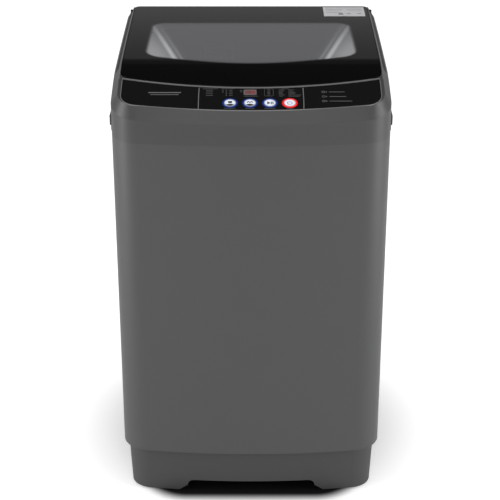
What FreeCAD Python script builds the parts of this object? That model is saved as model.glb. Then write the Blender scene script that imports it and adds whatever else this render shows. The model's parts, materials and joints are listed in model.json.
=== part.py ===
import FreeCAD, Part
import os
import re
import Sketcher
from math import atan2, pi, sqrt
from FreeCAD import Placement, Rotation, Vector

# Top load washing machine. Millimetres, +Z up, +X to the right of someone facing the front,
# +Y towards the rear. The origin is the middle of the whole machine's box, on the floor.

SIZES = {
    # cabinet
    "cab_width": 500, "cab_depth": 510, "seam_height": 736, "cab_bottom": 99,
    "bow_radius": 1450, "corner_radius": 55, "rear_radius": 20, "sheet_wall": 1, "hem_width": 16,
    "rear_fittings": 12,
    # rear panel
    "panel_opening": 300, "panel_low": 150, "panel_lap": 12, "panel_top_gap": 116,
    "panel_high": "=seam_height - panel_top_gap",
    "panel_rib_pitch": 50, "panel_rib_width": 20, "screw_radius": 2, "screw_head_radius": 4,
    "screw_head_height": 1.8, "screw_length": 8,
    # base
    "foot_height": 4, "foot_radius": 18, "leg_inset": 60, "base_inset": 9.1, "base_draft": 4.3,
    "base_rim": 26, "deck_thickness": 4, "arch_rise": 24, "arch_half": 143, "arch_taper": 18,
    "arch_round": 12, "leg_pocket": 44, "leg_floor": 8, "guard_thickness": 3, "guard_lift": 2,
    "stud_radius": 5, "stud_length": 40, "running_gap": 0.05, "part_gap": 0.3,
    # top frame
    "panel_slope": 17.5, "panel_rise": 59, "grip_slope": 11, "glass_slope": 3, "panel_run": 80,
    "grip_run": 72, "brow_run": 20, "band_drop": 20, "band_width": 13, "frame_wall": 3.2,
    "frame_depth": 18, "lip_depth": 13, "lip_wall": 2, "mouth_half": 185, "mouth_front": 158,
    "mouth_rear": 85, "mouth_bend": 90, "collar_wall": 3, "collar_depth": 16,
    # lid
    "rail_width": 16, "lid_front": 78, "lid_bow": 1000, "lid_bend": 22, "lid_rear": 16,
    "lid_rear_bend": 10, "lid_proud": 1.5, "rim_inset": 1, "glue_gap": 0.2, "lid_thickness": 12,
    "glass_thickness": 4,
    "lid_gap": 1.2, "lid_rear_gap": 2.6, "recess_depth": 12.4, "grip_seam": 148,
    "window_half": 196, "window_front": 153.5, "window_bow": 450, "window_side_front": 224,
    "window_shoulder": 186, "window_corner": 28, "window_rear": 407, "window_bend": 24,
    "hinge_setback": 14, "hinge_drop": 6.5, "pin_radius": 2.5, "pin_length": 12,
    "bush_radius": 5, "trough_depth": 26, "trough_run": 40, "trough_floor": 4,
    "bumper_radius": 6, "bumper_front": 195, "bumper_rear": 400, "bumper_inset": 19,
    "label_left": 145, "label_right": 227, "label_front": 423, "label_rear": 487,
    "label_thickness": 0.2, "switch_inset": 24, "switch_front": 205,
    # control panel
    "fascia_half": 230, "fascia_front": 12.8, "fascia_bend": 28, "fascia_rib": 4,
    "fascia_thickness": 2.2, "fascia_sink": 0.3, "button_row": 32.7, "button_first": -37,
    "button_pitch": 35, "button_radius": 11.5, "ring_width": 2.1, "ring_proud": 0.3, "button_proud": 1.2,
    "button_depth": 8, "button_stem": 4, "button_travel": 1, "button_dish": 7,
    "dish_depth": 0.4, "skin_thickness": 2.5,
    "cavity_half": 104, "cavity_down": 17.5, "cavity_up": 54, "cavity_depth": 60,
    "board_depth": 21, "board_thickness": 1.6, "board_half": 96, "board_down": 14,
    "board_up": 46, "tray_wall": 2, "tray_depth": 8, "tact_side": 8, "tact_height": 3.7,
    "display_width": 23.4, "display_height": 16.7, "display_middle": -1.8, "display_up": 32,
    "trim_x": 93, "trim_low": -17, "trim_high": 45, "trim_width": 1.5, "trim_curve": 1200,
    "trim_height": 0.5,
    # side handles
    "bead_low": 14, "bead_high": 33, "bead_out": 3.7, "step_low": 4, "step_out": 1.5,
    "bead_front": 72, "bead_rear": 70, "bead_round": 1.5, "cup_front": 210, "cup_length": 110,
    "cup_depth": 26, "cup_wall": 2, "cup_low": 1, "cup_high": 34,
    # tub and its suspension
    "tub_gap": 30, "tub_bottom": 250, "tub_top_gap": 46, "tub_wall": 3, "tub_floor": 4,
    "cover_height": 15, "cover_overlap": 50, "cover_wall": 2.5, "rod_inset_x": 68,
    "rod_inset_y": 20, "rod_radius": 3, "rod_top_gap": 28, "rod_cup_radius": 14,
    "rod_cup_height": 4, "rod_tail": 6, "lug_radius": 15, "lug_height": 20, "lug_bottom": 300,
    "lug_bore": 5, "arm_width": 18, "arm_height": 12, "spring_length": 60, "spring_radius": 10,
    "spring_wire": 2.4, "spring_turns": 7, "bracket_thickness": 3, "bracket_drop": 35,
    "bracket_reach": 17, "bracket_lap": 22,
    # drum
    "drum_gap": 12, "drum_sheet": 1, "drum_floor": 270, "drum_under": 8, "ring_depth": 33,
    "ring_height": 32, "ring_top_gap": 8, "hub_radius": 40, "hub_bottom": 262,
    "filter_width": 64, "filter_height": 150, "filter_depth": 9, "filter_top_gap": 50,
    # shafts and pulsator
    "spin_tube_radius": 14, "wash_shaft_radius": 8, "spin_tube_bottom": 160,
    "pulsator_radius": 152, "pulsator_lift": 14, "pulsator_rim": 10, "pulsator_dome": 46,
    "pulsator_hub": 46, "vane_count": 6, "vane_height": 16, "vane_width": 12, "cap_radius": 20,
    "cap_height": 5, "seal_radius": 30, "seal_height": 9, "bearing_radius": 26,
    "bearing_height": 12, "clutch_radius": 55, "clutch_bottom": 150,
    "plate_radius": 185, "plate_thickness": 3,
    # drive
    "pulley_radius": 80, "motor_pulley_radius": 24, "pulley_bottom": 112, "pulley_height": 18,
    "groove_depth": 8, "groove_height": 10, "belt_height": 8, "belt_thickness": 5.5,
    "motor_x": -126, "motor_radius": 54, "motor_bottom": 145, "motor_wall": 3,
    "motor_shaft_radius": 6, "rotor_radius": 36, "rotor_height": 50, "pulley_bore": 7,
    # water and electrics
    "valve_x": -185, "valve_drop": 36, "valve_z": "=seam_height - valve_drop", "inlet_radius": 13.2,
    "inlet_bore": 9, "valve_side": 40,
    "valve_depth": 34, "coil_radius": 13, "coil_height": 26,
    "spout_lift": 26, "spout_low": "=seam_height + spout_lift",
    "spout_height": 24, "spout_high": "=spout_low + spout_height",
    "spout_wall": 2, "spout_right": -34, "spout_nose": 60, "spout_front": 58, "spout_rear": 14,
    "drain_x": 120, "drain_z": 64, "drain_radius": 16, "drain_step": 1.5,
    "drain_shank": "=drain_radius + drain_step", "drain_bore": 12.5,
    "drain_y": 130, "drain_pipe_inner": 182, "hose_bend": 26, "hose_radius": 15,
    "drainer_z": 216, "drainer_radius": 21, "drainer_length": 62, "drainer_wall": 2.5,
    "neck_radius": 15, "neck_drop": 6, "plunger_radius": 15, "plunger_length": 16,
    "pull_travel": 12, "pull_rod_radius": 3, "puller_x": -20, "puller_length": 56,
    "puller_width": 40, "puller_height": 30, "lever_x": 66, "lever_y": 62, "lever_length": 60,
    "collar_radius": 9, "collar_length": 4,
    "lever_width": 10, "lever_thickness": 4, "lever_pin": 3, "gland_x": 185, "gland_z": 170,
    "gland_radius": 9, "cord_bore": 4, "sensor_y": 60, "sensor_radius": 20, "sensor_depth": 13,
    "sensor_drop": 36, "sensor_z": "=seam_height - sensor_drop", "tube_radius": 3, "tube_x": 13,
    "trap_height": 24, "trap_bottom": 282,
    "trap_width": 20, "capacitor_radius": 18, "capacitor_length": 80, "capacitor_z": 172,
    "capacitor_x": -60,
}

doc = FreeCAD.newDocument("TopLoadWasher")
sheet = doc.addObject("Spreadsheet::Sheet", "Sizes")
for row, (alias, value) in enumerate(SIZES.items(), 1):
    sheet.set(f"A{row}", alias)
    sheet.set(f"B{row}", str(value))
    sheet.setAlias(f"B{row}", alias)
doc.recompute()

WORD = re.compile(r"[a-z][a-z_0-9]*")
NODES = []

# Places that many sub-parts share, as expressions of the sheet's sizes.
FRONT = "(-(cab_depth + rear_fittings)/2)"
REAR = f"({FRONT} + cab_depth)"
HALF = "(cab_width/2)"
INNER_X = f"({HALF} - sheet_wall)"
INNER_REAR = f"({REAR} - sheet_wall)"
CORNER_X = f"({HALF} - corner_radius)"
CORNER_Y = f"({FRONT} + bow_radius - sqrt((bow_radius - corner_radius)^2 - {CORNER_X}^2))"
TUB_R = "(min(cab_width; cab_depth)/2 - tub_gap)"
TUB_TOP = "(seam_height - tub_top_gap)"
TUB_IN = f"({TUB_R} - tub_wall)"
DRUM_R = f"({TUB_IN} - drum_gap)"
DRUM_TOP = f"({TUB_TOP} - ring_top_gap)"
BORE_R = "(min(cab_width; cab_depth)/2 - base_rim)"
ROD_X = f"({HALF} - rod_inset_x)"
ROD_Y = f"(-{CORNER_Y} - rod_inset_y)"
ROD_TOP = "(seam_height - rod_top_gap)"
LEG_X = f"({HALF} - leg_inset)"
LID_HALF = f"({HALF} - rail_width)"
LID_REAR = f"({REAR} - lid_rear)"
HINGE_Y = f"({LID_REAR} - hinge_setback)"
CORNERS = [(-1, -1), (1, -1), (1, 1), (-1, 1)]


# Drawing helpers

def bound(text):
    """The expression with every size name pointed at the spreadsheet."""
    return WORD.sub(lambda w: f"Sizes.{w.group()}" if w.group() in SIZES else w.group(), str(text))


def size(text):
    """What an expression comes to, as a plain number."""
    value = sheet.evalExpression(bound(text))
    return float(getattr(value, "Value", value))


def bind(thing, **sizes):
    """Bind properties of an object to expressions of the sheet's sizes."""
    for name, text in sizes.items():
        thing.setExpression(name, bound(text))
    return thing


def place(thing, x="0", y="0", z="0", turn=None):
    """Put an object at a place that follows the sheet."""
    thing.Placement = Placement(Vector(), turn or Rotation())
    for axis, text in zip("xyz", (x, y, z)):
        thing.setExpression(f"Placement.Base.{axis}", bound(text))
    return thing


def on_panel(thing, across="0", up="0", out="0"):
    """Put an object on the sloping control panel, from the middle of its row of buttons."""
    thing.Placement = Placement(Vector(), Rotation(Vector(1, 0, 0), size("panel_slope")))
    thing.setExpression("Placement.Rotation.Angle", bound("panel_slope"))
    y = f"{FRONT} + button_row + ({up})*cos(panel_slope) - ({out})*sin(panel_slope)"
    z = ("seam_height + panel_rise + button_row*tan(panel_slope)"
         f" + ({up})*sin(panel_slope) + ({out})*cos(panel_slope)")
    for axis, text in zip("xyz", (across, y, z)):
        thing.setExpression(f"Placement.Base.{axis}", bound(text))
    return thing


def node(thing, label):
    """Give a finished sub-part its name, which is also its file's name."""
    thing.Label = label
    NODES.append(thing)
    return thing


def box(x, y, z):
    """A box between two expressions along each axis."""
    thing = bind(doc.addObject("Part::Box", "Block"), Length=f"({x[1]}) - ({x[0]})",
                 Width=f"({y[1]}) - ({y[0]})", Height=f"({z[1]}) - ({z[0]})")
    return place(thing, x[0], y[0], z[0])


def panel_box(x, y, z):
    """A box in the control panel's own directions: across, up the slope and out."""
    thing = bind(doc.addObject("Part::Box", "Block"), Length=f"({x[1]}) - ({x[0]})",
                 Width=f"({y[1]}) - ({y[0]})", Height=f"({z[1]}) - ({z[0]})")
    return on_panel(thing, x[0], y[0], z[0])


TURNS = {"X": Rotation(Vector(0, 1, 0), 90), "Y": Rotation(Vector(1, 0, 0), -90), "Z": Rotation()}


def cylinder(radius, length, x="0", y="0", z="0", along="Z"):
    """A cylinder that starts at a place and runs along one axis."""
    thing = bind(doc.addObject("Part::Cylinder", "Round"), Radius=radius, Height=length)
    return place(thing, x, y, z, TURNS[along])


def panel_cylinder(radius, low, high, across="0", up="0"):
    """A cylinder square to the control panel, between two heights over it."""
    thing = bind(doc.addObject("Part::Cylinder", "Round"), Radius=radius,
                 Height=f"({high}) - ({low})")
    return on_panel(thing, across, up, low)


def fuse(*things):
    joined = doc.addObject("Part::MultiFuse", "Joined")
    joined.Shapes = list(things)
    return joined


def group(*things):
    """Separate solids kept as one sub-part, such as a set of equal screws."""
    kept = doc.addObject("Part::Compound", "Group")
    kept.Links = list(things)
    return kept


def cut(base, *tools):
    result = doc.addObject("Part::Cut", "Result")
    result.Base = base
    result.Tool = tools[0] if len(tools) == 1 else fuse(*tools)
    return result


def ring(outer, inner, length, x="0", y="0", z="0", along="Z"):
    return cut(cylinder(outer, length, x, y, z, along), cylinder(inner, length, x, y, z, along))


def mirrored(thing):
    """The same piece on the other side of the machine."""
    copy = doc.addObject("Part::Mirroring", "Mirrored")
    copy.Source = thing
    copy.Normal = Vector(1, 0, 0)
    return copy


def new_body(name):
    return doc.addObject("PartDesign::Body", name)


def sketch_on(body, role, height="0"):
    """A sketch on one of the body's own origin planes, moved along the plane's normal."""
    sketch = body.newObject("Sketcher::SketchObject", "Sketch")
    plane = [feature for feature in body.Origin.OriginFeatures if feature.Role == role][0]
    sketch.AttachmentSupport = [(plane, "")]
    sketch.MapMode = "FlatFace"
    return bind(sketch, **{"AttachmentOffset.Base.z": height})


def dimension(sketch, constraint, text):
    index = sketch.addConstraint(constraint)
    sketch.setExpression(f"Constraints[{index}]", bound(text))


def arc_between(sketch, start, end, radius):
    """Add the short arc between two points. It turns left when the radius is positive."""
    first, last = (start, end) if radius > 0 else (end, start)
    chord = last - first
    rise = sqrt(max(radius**2 - (chord.Length/2)**2, 0))
    centre = (first + last)*0.5 + Vector(-chord.y, chord.x, 0).normalize()*rise
    angles = [atan2(point.y - centre.y, point.x - centre.x) for point in (first, last)]
    if angles[1] < angles[0]:
        angles[1] += 2*pi
    circle = Part.Circle(centre, Vector(0, 0, 1), abs(radius))
    number = sketch.addGeometry(Part.ArcOfCircle(circle, *angles))
    return (number, 1, 2) if radius > 0 else (number, 2, 1)


def loop(sketch, corners):
    """Draw a closed outline. A corner is (across, up), or (across, up, radius) where an arc
    ends: a positive radius turns left and a negative one turns right."""
    points = [Vector(size(corner[0]), size(corner[1]), 0) for corner in corners]
    pieces = []
    for i, corner in enumerate(corners):
        if len(corner) == 3:
            pieces.append(arc_between(sketch, points[i - 1], points[i], size(corner[2])))
        else:
            line = Part.LineSegment(points[i - 1], points[i])
            pieces.append((sketch.addGeometry(line), 1, 2))
    for i, (number, head, tail) in enumerate(pieces):
        after = pieces[(i + 1) % len(pieces)]
        sketch.addConstraint(Sketcher.Constraint("Coincident", number, tail, after[0], after[1]))
        x, y = points[i].x, points[i].y
        dimension(sketch, Sketcher.Constraint("DistanceX", -1, 1, number, tail, x), corners[i][0])
        dimension(sketch, Sketcher.Constraint("DistanceY", -1, 1, number, tail, y), corners[i][1])
        if len(corners[i]) == 3:
            radius = abs(size(corners[i][2]))
            dimension(sketch, Sketcher.Constraint("Radius", number, radius), f"abs({corners[i][2]})")


def circle(sketch, x, y, radius):
    centre = Vector(size(x), size(y), 0)
    number = sketch.addGeometry(Part.Circle(centre, Vector(0, 0, 1), size(radius)))
    dimension(sketch, Sketcher.Constraint("DistanceX", -1, 1, number, 3, centre.x), x)
    dimension(sketch, Sketcher.Constraint("DistanceY", -1, 1, number, 3, centre.y), y)
    dimension(sketch, Sketcher.Constraint("Radius", number, size(radius)), radius)


def rectangle(sketch, x, y):
    loop(sketch, [(x[0], y[0]), (x[1], y[0]), (x[1], y[1]), (x[0], y[1])])


def pad(body, sketch, length, middle=False):
    feature = bind(body.newObject("PartDesign::Pad", "Pad"), Length=length)
    feature.Profile = sketch
    if middle:
        feature.SideType = "Symmetric"
    return feature


def checked_cut(body, feature):
    """Recompute, and make sure that a cutting feature took something away."""
    before = feature.BaseFeature.Shape.Volume
    doc.recompute()
    if not feature.Shape.Volume < before - 1e-3:
        raise ValueError(f"{feature.Name} in {body.Name} cuts nothing")
    return feature


def pocket(body, sketch, length=None, reverse=False):
    """Cut a sketch's outline: to a length, or both ways through everything."""
    doc.recompute()
    feature = body.newObject("PartDesign::Pocket", "Pocket")
    feature.Profile = sketch
    if length is None:
        feature.Type = "ThroughAll"
        feature.SideType = "Symmetric"
    else:
        bind(feature, Length=length)
        feature.Reversed = reverse
    return checked_cut(body, feature)


def revolved(name, corners):
    """A body turned about the upright axis from an outline of (radius, height) corners."""
    body = new_body(name)
    sketch = sketch_on(body, "XZ_Plane")
    loop(sketch, corners)
    feature = body.newObject("PartDesign::Revolution", "Revolution")
    feature.Profile = sketch
    feature.ReferenceAxis = (sketch, ["V_Axis"])
    feature.Angle = 360
    return body


def prism(name, low, high, draw):
    """A body padded upwards between two heights from an outline that draw() adds."""
    body = new_body(name)
    sketch = sketch_on(body, "XY_Plane", low)
    draw(sketch)
    pad(body, sketch, f"({high}) - ({low})")
    return body


def bowed_outline(sketch, half, front, bow, bend, rear, rear_bend, inset="0"):
    """A plan outline with a bowed front, four round corners and straight sides and rear."""
    corner_x = f"({half} - {bend})"
    rise = f"sqrt(({bow} - {bend})^2 - {corner_x}^2)"
    reach = f"(({bow} - {inset})/({bow} - {bend}))"
    tangent_x = f"({corner_x}*{reach})"
    tangent_y = f"({front} + {bow} - {rise}*{reach})"
    side = f"({half} - {inset})"
    corner_y = f"({front} + {bow} - {rise})"
    back = f"({rear} - {inset})"
    front_turn = f"({bend} - {inset})"
    rear_turn = f"({rear_bend} - {inset})"
    loop(sketch, [
        (f"-{tangent_x}", tangent_y, front_turn),
        (tangent_x, tangent_y, f"({bow} - {inset})"),
        (side, corner_y, front_turn),
        (side, f"{back} - {rear_turn}"),
        (f"{side} - {rear_turn}", back, rear_turn),
        (f"-({side} - {rear_turn})", back),
        (f"-{side}", f"{back} - {rear_turn}", rear_turn),
        (f"-{side}", corner_y)])


def cabinet_outline(inset="0"):
    def draw(sketch):
        bowed_outline(sketch, HALF, FRONT, "bow_radius", "corner_radius", REAR, "rear_radius", inset)
    return draw


def lid_outline(inset="0", rear_gap="0"):
    def draw(sketch):
        bowed_outline(sketch, LID_HALF, f"({FRONT} + lid_front)", "lid_bow", "lid_bend",
                      f"({LID_REAR} + {rear_gap})", "lid_rear_bend", inset)
    return draw


def fascia_outline(inset="0"):
    """The control panel's outline: it follows the cabinet's bow in front and the lid behind."""
    def draw(sketch):
        bow, bend, front = "bow_radius", "fascia_bend", f"({FRONT} + fascia_front)"
        corner_x = f"(fascia_half - {bend})"
        rise = f"sqrt(({bow} - {bend})^2 - {corner_x}^2)"
        reach = f"(({bow} - {inset})/({bow} - {bend}))"
        tangent = (f"({corner_x}*{reach})", f"({front} + {bow} - {rise}*{reach})")
        side = f"(fascia_half - {inset})"
        corner_y = f"({front} + {bow} - {rise})"
        back_bow = f"(lid_bow + fascia_rib + {inset})"
        back_y = f"({FRONT} + lid_front + lid_bow - sqrt({back_bow}^2 - {side}^2))"
        loop(sketch, [
            (f"-{tangent[0]}", tangent[1], f"({bend} - {inset})"),
            (tangent[0], tangent[1], f"({bow} - {inset})"),
            (side, corner_y, f"({bend} - {inset})"),
            (side, back_y),
            (f"-{side}", back_y, f"-{back_bow}"),
            (f"-{side}", corner_y)])
    return draw


# The top surface: the panel's straight slope, then three arcs that level out towards the rear.
SINES = [f"sin({angle})" for angle in ("panel_slope", "grip_slope", "glass_slope")]
COSINES = [f"cos({angle})" for angle in ("panel_slope", "grip_slope", "glass_slope")]
TOP_Y = [f"({FRONT} + panel_run)"]
TOP_Y += [f"({TOP_Y[0]} + grip_run)", f"({TOP_Y[0]} + grip_run + brow_run)", REAR]
TOP_R = [f"(grip_run/({SINES[0]} - {SINES[1]}))", f"(brow_run/({SINES[1]} - {SINES[2]}))",
         f"(({REAR} - {TOP_Y[2]})/{SINES[2]})"]
TOP_Z = ["(seam_height + panel_rise + panel_run*tan(panel_slope))"]
TOP_Z += [f"({TOP_Z[0]} + {TOP_R[0]}*({COSINES[1]} - {COSINES[0]}))"]
TOP_Z += [f"({TOP_Z[1]} + {TOP_R[1]}*({COSINES[2]} - {COSINES[1]}))"]
TOP_Z += [f"({TOP_Z[2]} + {TOP_R[2]}*(1 - {COSINES[2]}))"]
PAST = "(corner_radius + 5)"
HINGE_Z = f"({TOP_Z[3]} - hinge_drop)"
FACE_OUT = "(-fascia_sink*cos(panel_slope))"
SEAT_OUT = "(-(fascia_thickness + fascia_sink)*cos(panel_slope))"
SKIN_OUT = f"({SEAT_OUT} - skin_thickness)"


def beside_top(body, drop, above):
    """Cut away all that lies above, or below, the top surface lowered by a drop."""
    sketch = sketch_on(body, "YZ_Plane")
    far = f"({TOP_Z[3]} + 100)" if above else "(cab_bottom - 10)"
    loop(sketch, [
        (f"({FRONT} - {PAST})", f"{TOP_Z[0]} - (panel_run + {PAST})*tan(panel_slope) - ({drop})"),
        (TOP_Y[0], f"{TOP_Z[0]} - ({drop})"),
        (TOP_Y[1], f"{TOP_Z[1]} - ({drop})", f"-{TOP_R[0]}"),
        (TOP_Y[2], f"{TOP_Z[2]} - ({drop})", f"-{TOP_R[1]}"),
        (TOP_Y[3], f"{TOP_Z[3]} - ({drop})", f"-{TOP_R[2]}"),
        (f"({REAR} + {PAST})", f"{TOP_Z[3]} - ({drop})"),
        (f"({REAR} + {PAST})", far),
        (f"({FRONT} - {PAST})", far)])
    return pocket(body, sketch)


def top_layer(name, draw, high, low):
    """A body that follows the top surface, between two drops below it."""
    body = prism(name, "cab_bottom", f"{TOP_Z[3]} + 50", draw)
    beside_top(body, high, above=True)
    if low is not None:
        beside_top(body, low, above=False)
    return body


# Cabinet

def panel_screws(radius, length, start):
    """Cylinders at the places of the rear panel's screws."""
    x = "(panel_opening/2 + panel_lap/2)"
    heights = [f"(panel_low + (panel_high - panel_low)*{i}/3)" for i in range(4)]
    return [cylinder(radius, length, f"{side}*{x}", start, height, "Y")
            for side in (-1, 1) for height in heights]


def cabinet_wrap():
    """The bent steel sheet of front, sides and rear edges, with a hem inwards at its foot."""
    body = prism("WrapSheet", "cab_bottom", "seam_height", cabinet_outline())
    inside = sketch_on(body, "XY_Plane", "cab_bottom + sheet_wall")
    cabinet_outline("sheet_wall")(inside)
    pocket(body, inside, "seam_height", reverse=True)
    hem = sketch_on(body, "XY_Plane", "cab_bottom")
    cabinet_outline("hem_width")(hem)
    pocket(body, hem)
    opening = sketch_on(body, "XZ_Plane", f"-({REAR} - 10)")
    rectangle(opening, ("-panel_opening/2", "panel_opening/2"), ("panel_low", "panel_high"))
    pocket(body, opening, "rear_fittings + 10")
    holes = panel_screws("screw_radius", "20", f"{REAR} - 10")
    inlet = cylinder("inlet_radius + 1.5", "20", "valve_x", f"{REAR} - 10", "valve_z", "Y")
    gland = cylinder("gland_radius", "20", "gland_x", f"{REAR} - 10", "gland_z", "Y")
    node(cut(body, inlet, gland, *holes), "cabinet_wrap")


def rear_panel():
    """The service panel, inside the wrap's rear opening, with upright ribs pressed outwards."""
    lap = "panel_lap"
    plate = box((f"-panel_opening/2 - {lap}", f"panel_opening/2 + {lap}"),
                (f"{INNER_REAR} - sheet_wall", INNER_REAR), (f"panel_low - {lap}", f"panel_high + {lap}"))
    ribs = [box((f"{i}*panel_rib_pitch - panel_rib_width/2", f"{i}*panel_rib_pitch + panel_rib_width/2"),
                (INNER_REAR, f"{REAR} - 0.2"), ("panel_low + 15", "panel_high - 15"))
            for i in range(-2, 3)]
    holes = panel_screws("screw_radius", "20", f"{REAR} - 10")
    node(cut(fuse(plate, *ribs), *holes), "rear_panel")
    shanks = panel_screws("screw_radius - running_gap", "screw_length", f"{REAR} - screw_length")
    heads = panel_screws("screw_head_radius", "screw_head_height", REAR)
    node(group(*[fuse(shank, head) for shank, head in zip(shanks, heads)]), "rear_panel_screws")


def leg_y(side):
    """The legs' middles, front and rear."""
    return f"({CORNER_Y} + 2)" if side < 0 else f"({REAR} - leg_inset)"


def base_frame():
    """The moulded base: drafted walls, a deck under the wrap's hem, and four hollow legs."""
    body = new_body("BaseMoulding")
    foot = sketch_on(body, "XY_Plane", "foot_height")
    cabinet_outline("(base_inset + base_draft)")(foot)
    head = sketch_on(body, "XY_Plane", "cab_bottom")
    cabinet_outline("base_inset")(head)
    loft = body.newObject("PartDesign::AdditiveLoft", "Walls")
    loft.Profile = foot
    loft.Sections = [head]
    loft.Ruled = True
    well = sketch_on(body, "XY_Plane", "foot_height")
    circle(well, "0", "0", BORE_R)
    pocket(body, well, "cab_bottom - foot_height - deck_thickness", reverse=True)
    deck = sketch_on(body, "XY_Plane", "cab_bottom")
    circle(deck, "0", "0", f"{BORE_R} - 8")
    pocket(body, deck)
    for role in ("XZ_Plane", "YZ_Plane"):
        arch = sketch_on(body, role)
        top, low = "(foot_height + arch_rise)", "(foot_height - 1)"
        shoulder = "(arch_half - arch_taper)"
        loop(arch, [("-arch_half", low), ("arch_half", low), (f"{shoulder}", f"{top} - arch_round"),
                    (f"{shoulder} - arch_round", top, "arch_round"),
                    (f"-({shoulder} - arch_round)", top),
                    (f"-{shoulder}", f"{top} - arch_round", "arch_round")])
        pocket(body, arch)
    pockets = [box((f"{i}*{LEG_X} - leg_pocket/2", f"{i}*{LEG_X} + leg_pocket/2"),
                   (f"{leg_y(j)} - leg_pocket/2", f"{leg_y(j)} + leg_pocket/2"),
                   ("foot_height + leg_floor", "cab_bottom + 1")) for i, j in CORNERS]
    outlet = cylinder("drain_shank + running_gap", "cab_depth", "drain_x", "0", "drain_z", "Y")
    stud = cylinder("stud_radius + running_gap", "leg_floor + 2", LEG_X, leg_y(-1), "foot_height - 1")
    node(cut(body, outlet, stud, *pockets), "base_frame")


def feet():
    """Three fixed rubber feet and one that screws up and down to level the machine."""
    fixed = [cylinder("foot_radius", "foot_height", f"{i}*{LEG_X}", leg_y(j))
             for i, j in CORNERS if (i, j) != (1, -1)]
    node(group(*fixed), "rubber_feet")
    disc = cylinder("foot_radius", "foot_height - part_gap", LEG_X, leg_y(-1))
    stud = cylinder("stud_radius", "stud_length", LEG_X, leg_y(-1), "1")
    node(fuse(disc, stud), "leveling_foot")


def bottom_guard():
    """The slotted plate that closes the base from below."""
    low = "(foot_height + arch_rise + guard_lift)"
    plate = cylinder(f"{BORE_R} - part_gap", "guard_thickness", z=low)
    slots = [box(("-90", "90"), (f"{i}*32 - 4", f"{i}*32 + 4"), (f"{low} - 1", f"{low} + 10"))
             for i in range(-3, 4)]
    node(cut(plate, *slots), "bottom_guard")


# Top frame and control panel

def mouth_outline(grow="0"):
    def draw(sketch):
        half = f"(mouth_half + {grow})"
        front, rear = f"({FRONT} + mouth_front - {grow})", f"({REAR} - mouth_rear + {grow})"
        bend = f"(mouth_bend + {grow})"
        loop(sketch, [(f"-({half} - {bend})", front, bend), (f"{half} - {bend}", front),
                      (half, f"{front} + {bend}", bend), (half, f"{rear} - {bend}"),
                      (f"{half} - {bend}", rear, bend), (f"-({half} - {bend})", rear),
                      (f"-{half}", f"{rear} - {bend}", bend), (f"-{half}", f"{front} + {bend}")])
    return draw


def frame_envelope():
    """The outside of the top frame, with its steep band all round below the top surface."""
    body = top_layer("FrameOutside", cabinet_outline(), "0", None)
    below = sketch_on(body, "XY_Plane", "seam_height")
    rectangle(below, ("-cab_width", "cab_width"), ("-cab_depth", "cab_depth"))
    solid = pocket(body, below, "seam_height")
    edges = []
    for number, edge in enumerate(solid.Shape.Edges, 1):
        reach = edge.BoundBox
        upright = reach.XLength < 1e-3 and reach.YLength < 1e-3
        across = reach.XLength > 1.9*size(HALF) and reach.YLength < 1e-3 and reach.YMin < size(INNER_REAR)
        if reach.ZMin > size("seam_height") + 1 and not upright and not across:
            edges.append(f"Edge{number}")
    band = bind(body.newObject("PartDesign::Chamfer", "Band"), Size="band_drop", Size2="band_width")
    band.Base = (solid, edges)
    band.ChamferType = "Two distances"
    return body


def button_x(i):
    return f"(button_first + {i}*button_pitch)"


def frame_cutters():
    """Everything that is cut out of the top frame."""
    recess = top_layer("LidRecess", lid_outline("(-lid_gap)", "(lid_rear_gap - lid_gap)"), "-40",
                       "recess_depth")
    mouth = prism("Mouth", "tub_bottom", f"{TOP_Z[3]} + 40", mouth_outline())
    seat = top_layer("FasciaSeat", fascia_outline("(-0.2)"), "-20", "(fascia_thickness + fascia_sink)")
    cavity = panel_box(("-cavity_half", "cavity_half"), ("-cavity_down", "cavity_up"),
                       ("-cavity_depth", SKIN_OUT))
    holes = [panel_cylinder("button_radius + part_gap", "-20", "5", button_x(i)) for i in range(4)]
    slot = panel_box(("display_middle - display_width/2 + 1", "display_middle + display_width/2 - 1"),
                     ("display_up - display_height/2 + 1", "display_up + display_height/2 - 1"),
                     ("-20", "5"))
    trough = box((f"-({LID_HALF} + lid_gap)", f"{LID_HALF} + lid_gap"),
                 (f"{REAR} - lid_rear - trough_run", f"{LID_REAR} + lid_rear_gap"),
                 (f"{TOP_Z[3]} - trough_depth", f"{TOP_Z[3]} + 10"))
    bushes = cylinder("bush_radius", "cab_width", "-cab_width/2", HINGE_Y, HINGE_Z, "X")
    cups = [box((f"{HALF} - cup_depth", f"{HALF} + 1"),
                (f"{FRONT} + cup_front", f"{FRONT} + cup_front + cup_length"),
                ("seam_height + cup_low", "seam_height + cup_high"))]
    cups.append(mirrored(cups[0]))
    nose = box(("spout_right - spout_nose - part_gap", "spout_right + part_gap"),
               (f"{REAR} - mouth_rear - 10", f"{REAR} - mouth_rear + 10"),
               ("spout_low - part_gap", "spout_high + part_gap"))
    return [recess, mouth, seat, cavity, slot, trough, bushes, nose, *cups, *holes]


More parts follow.
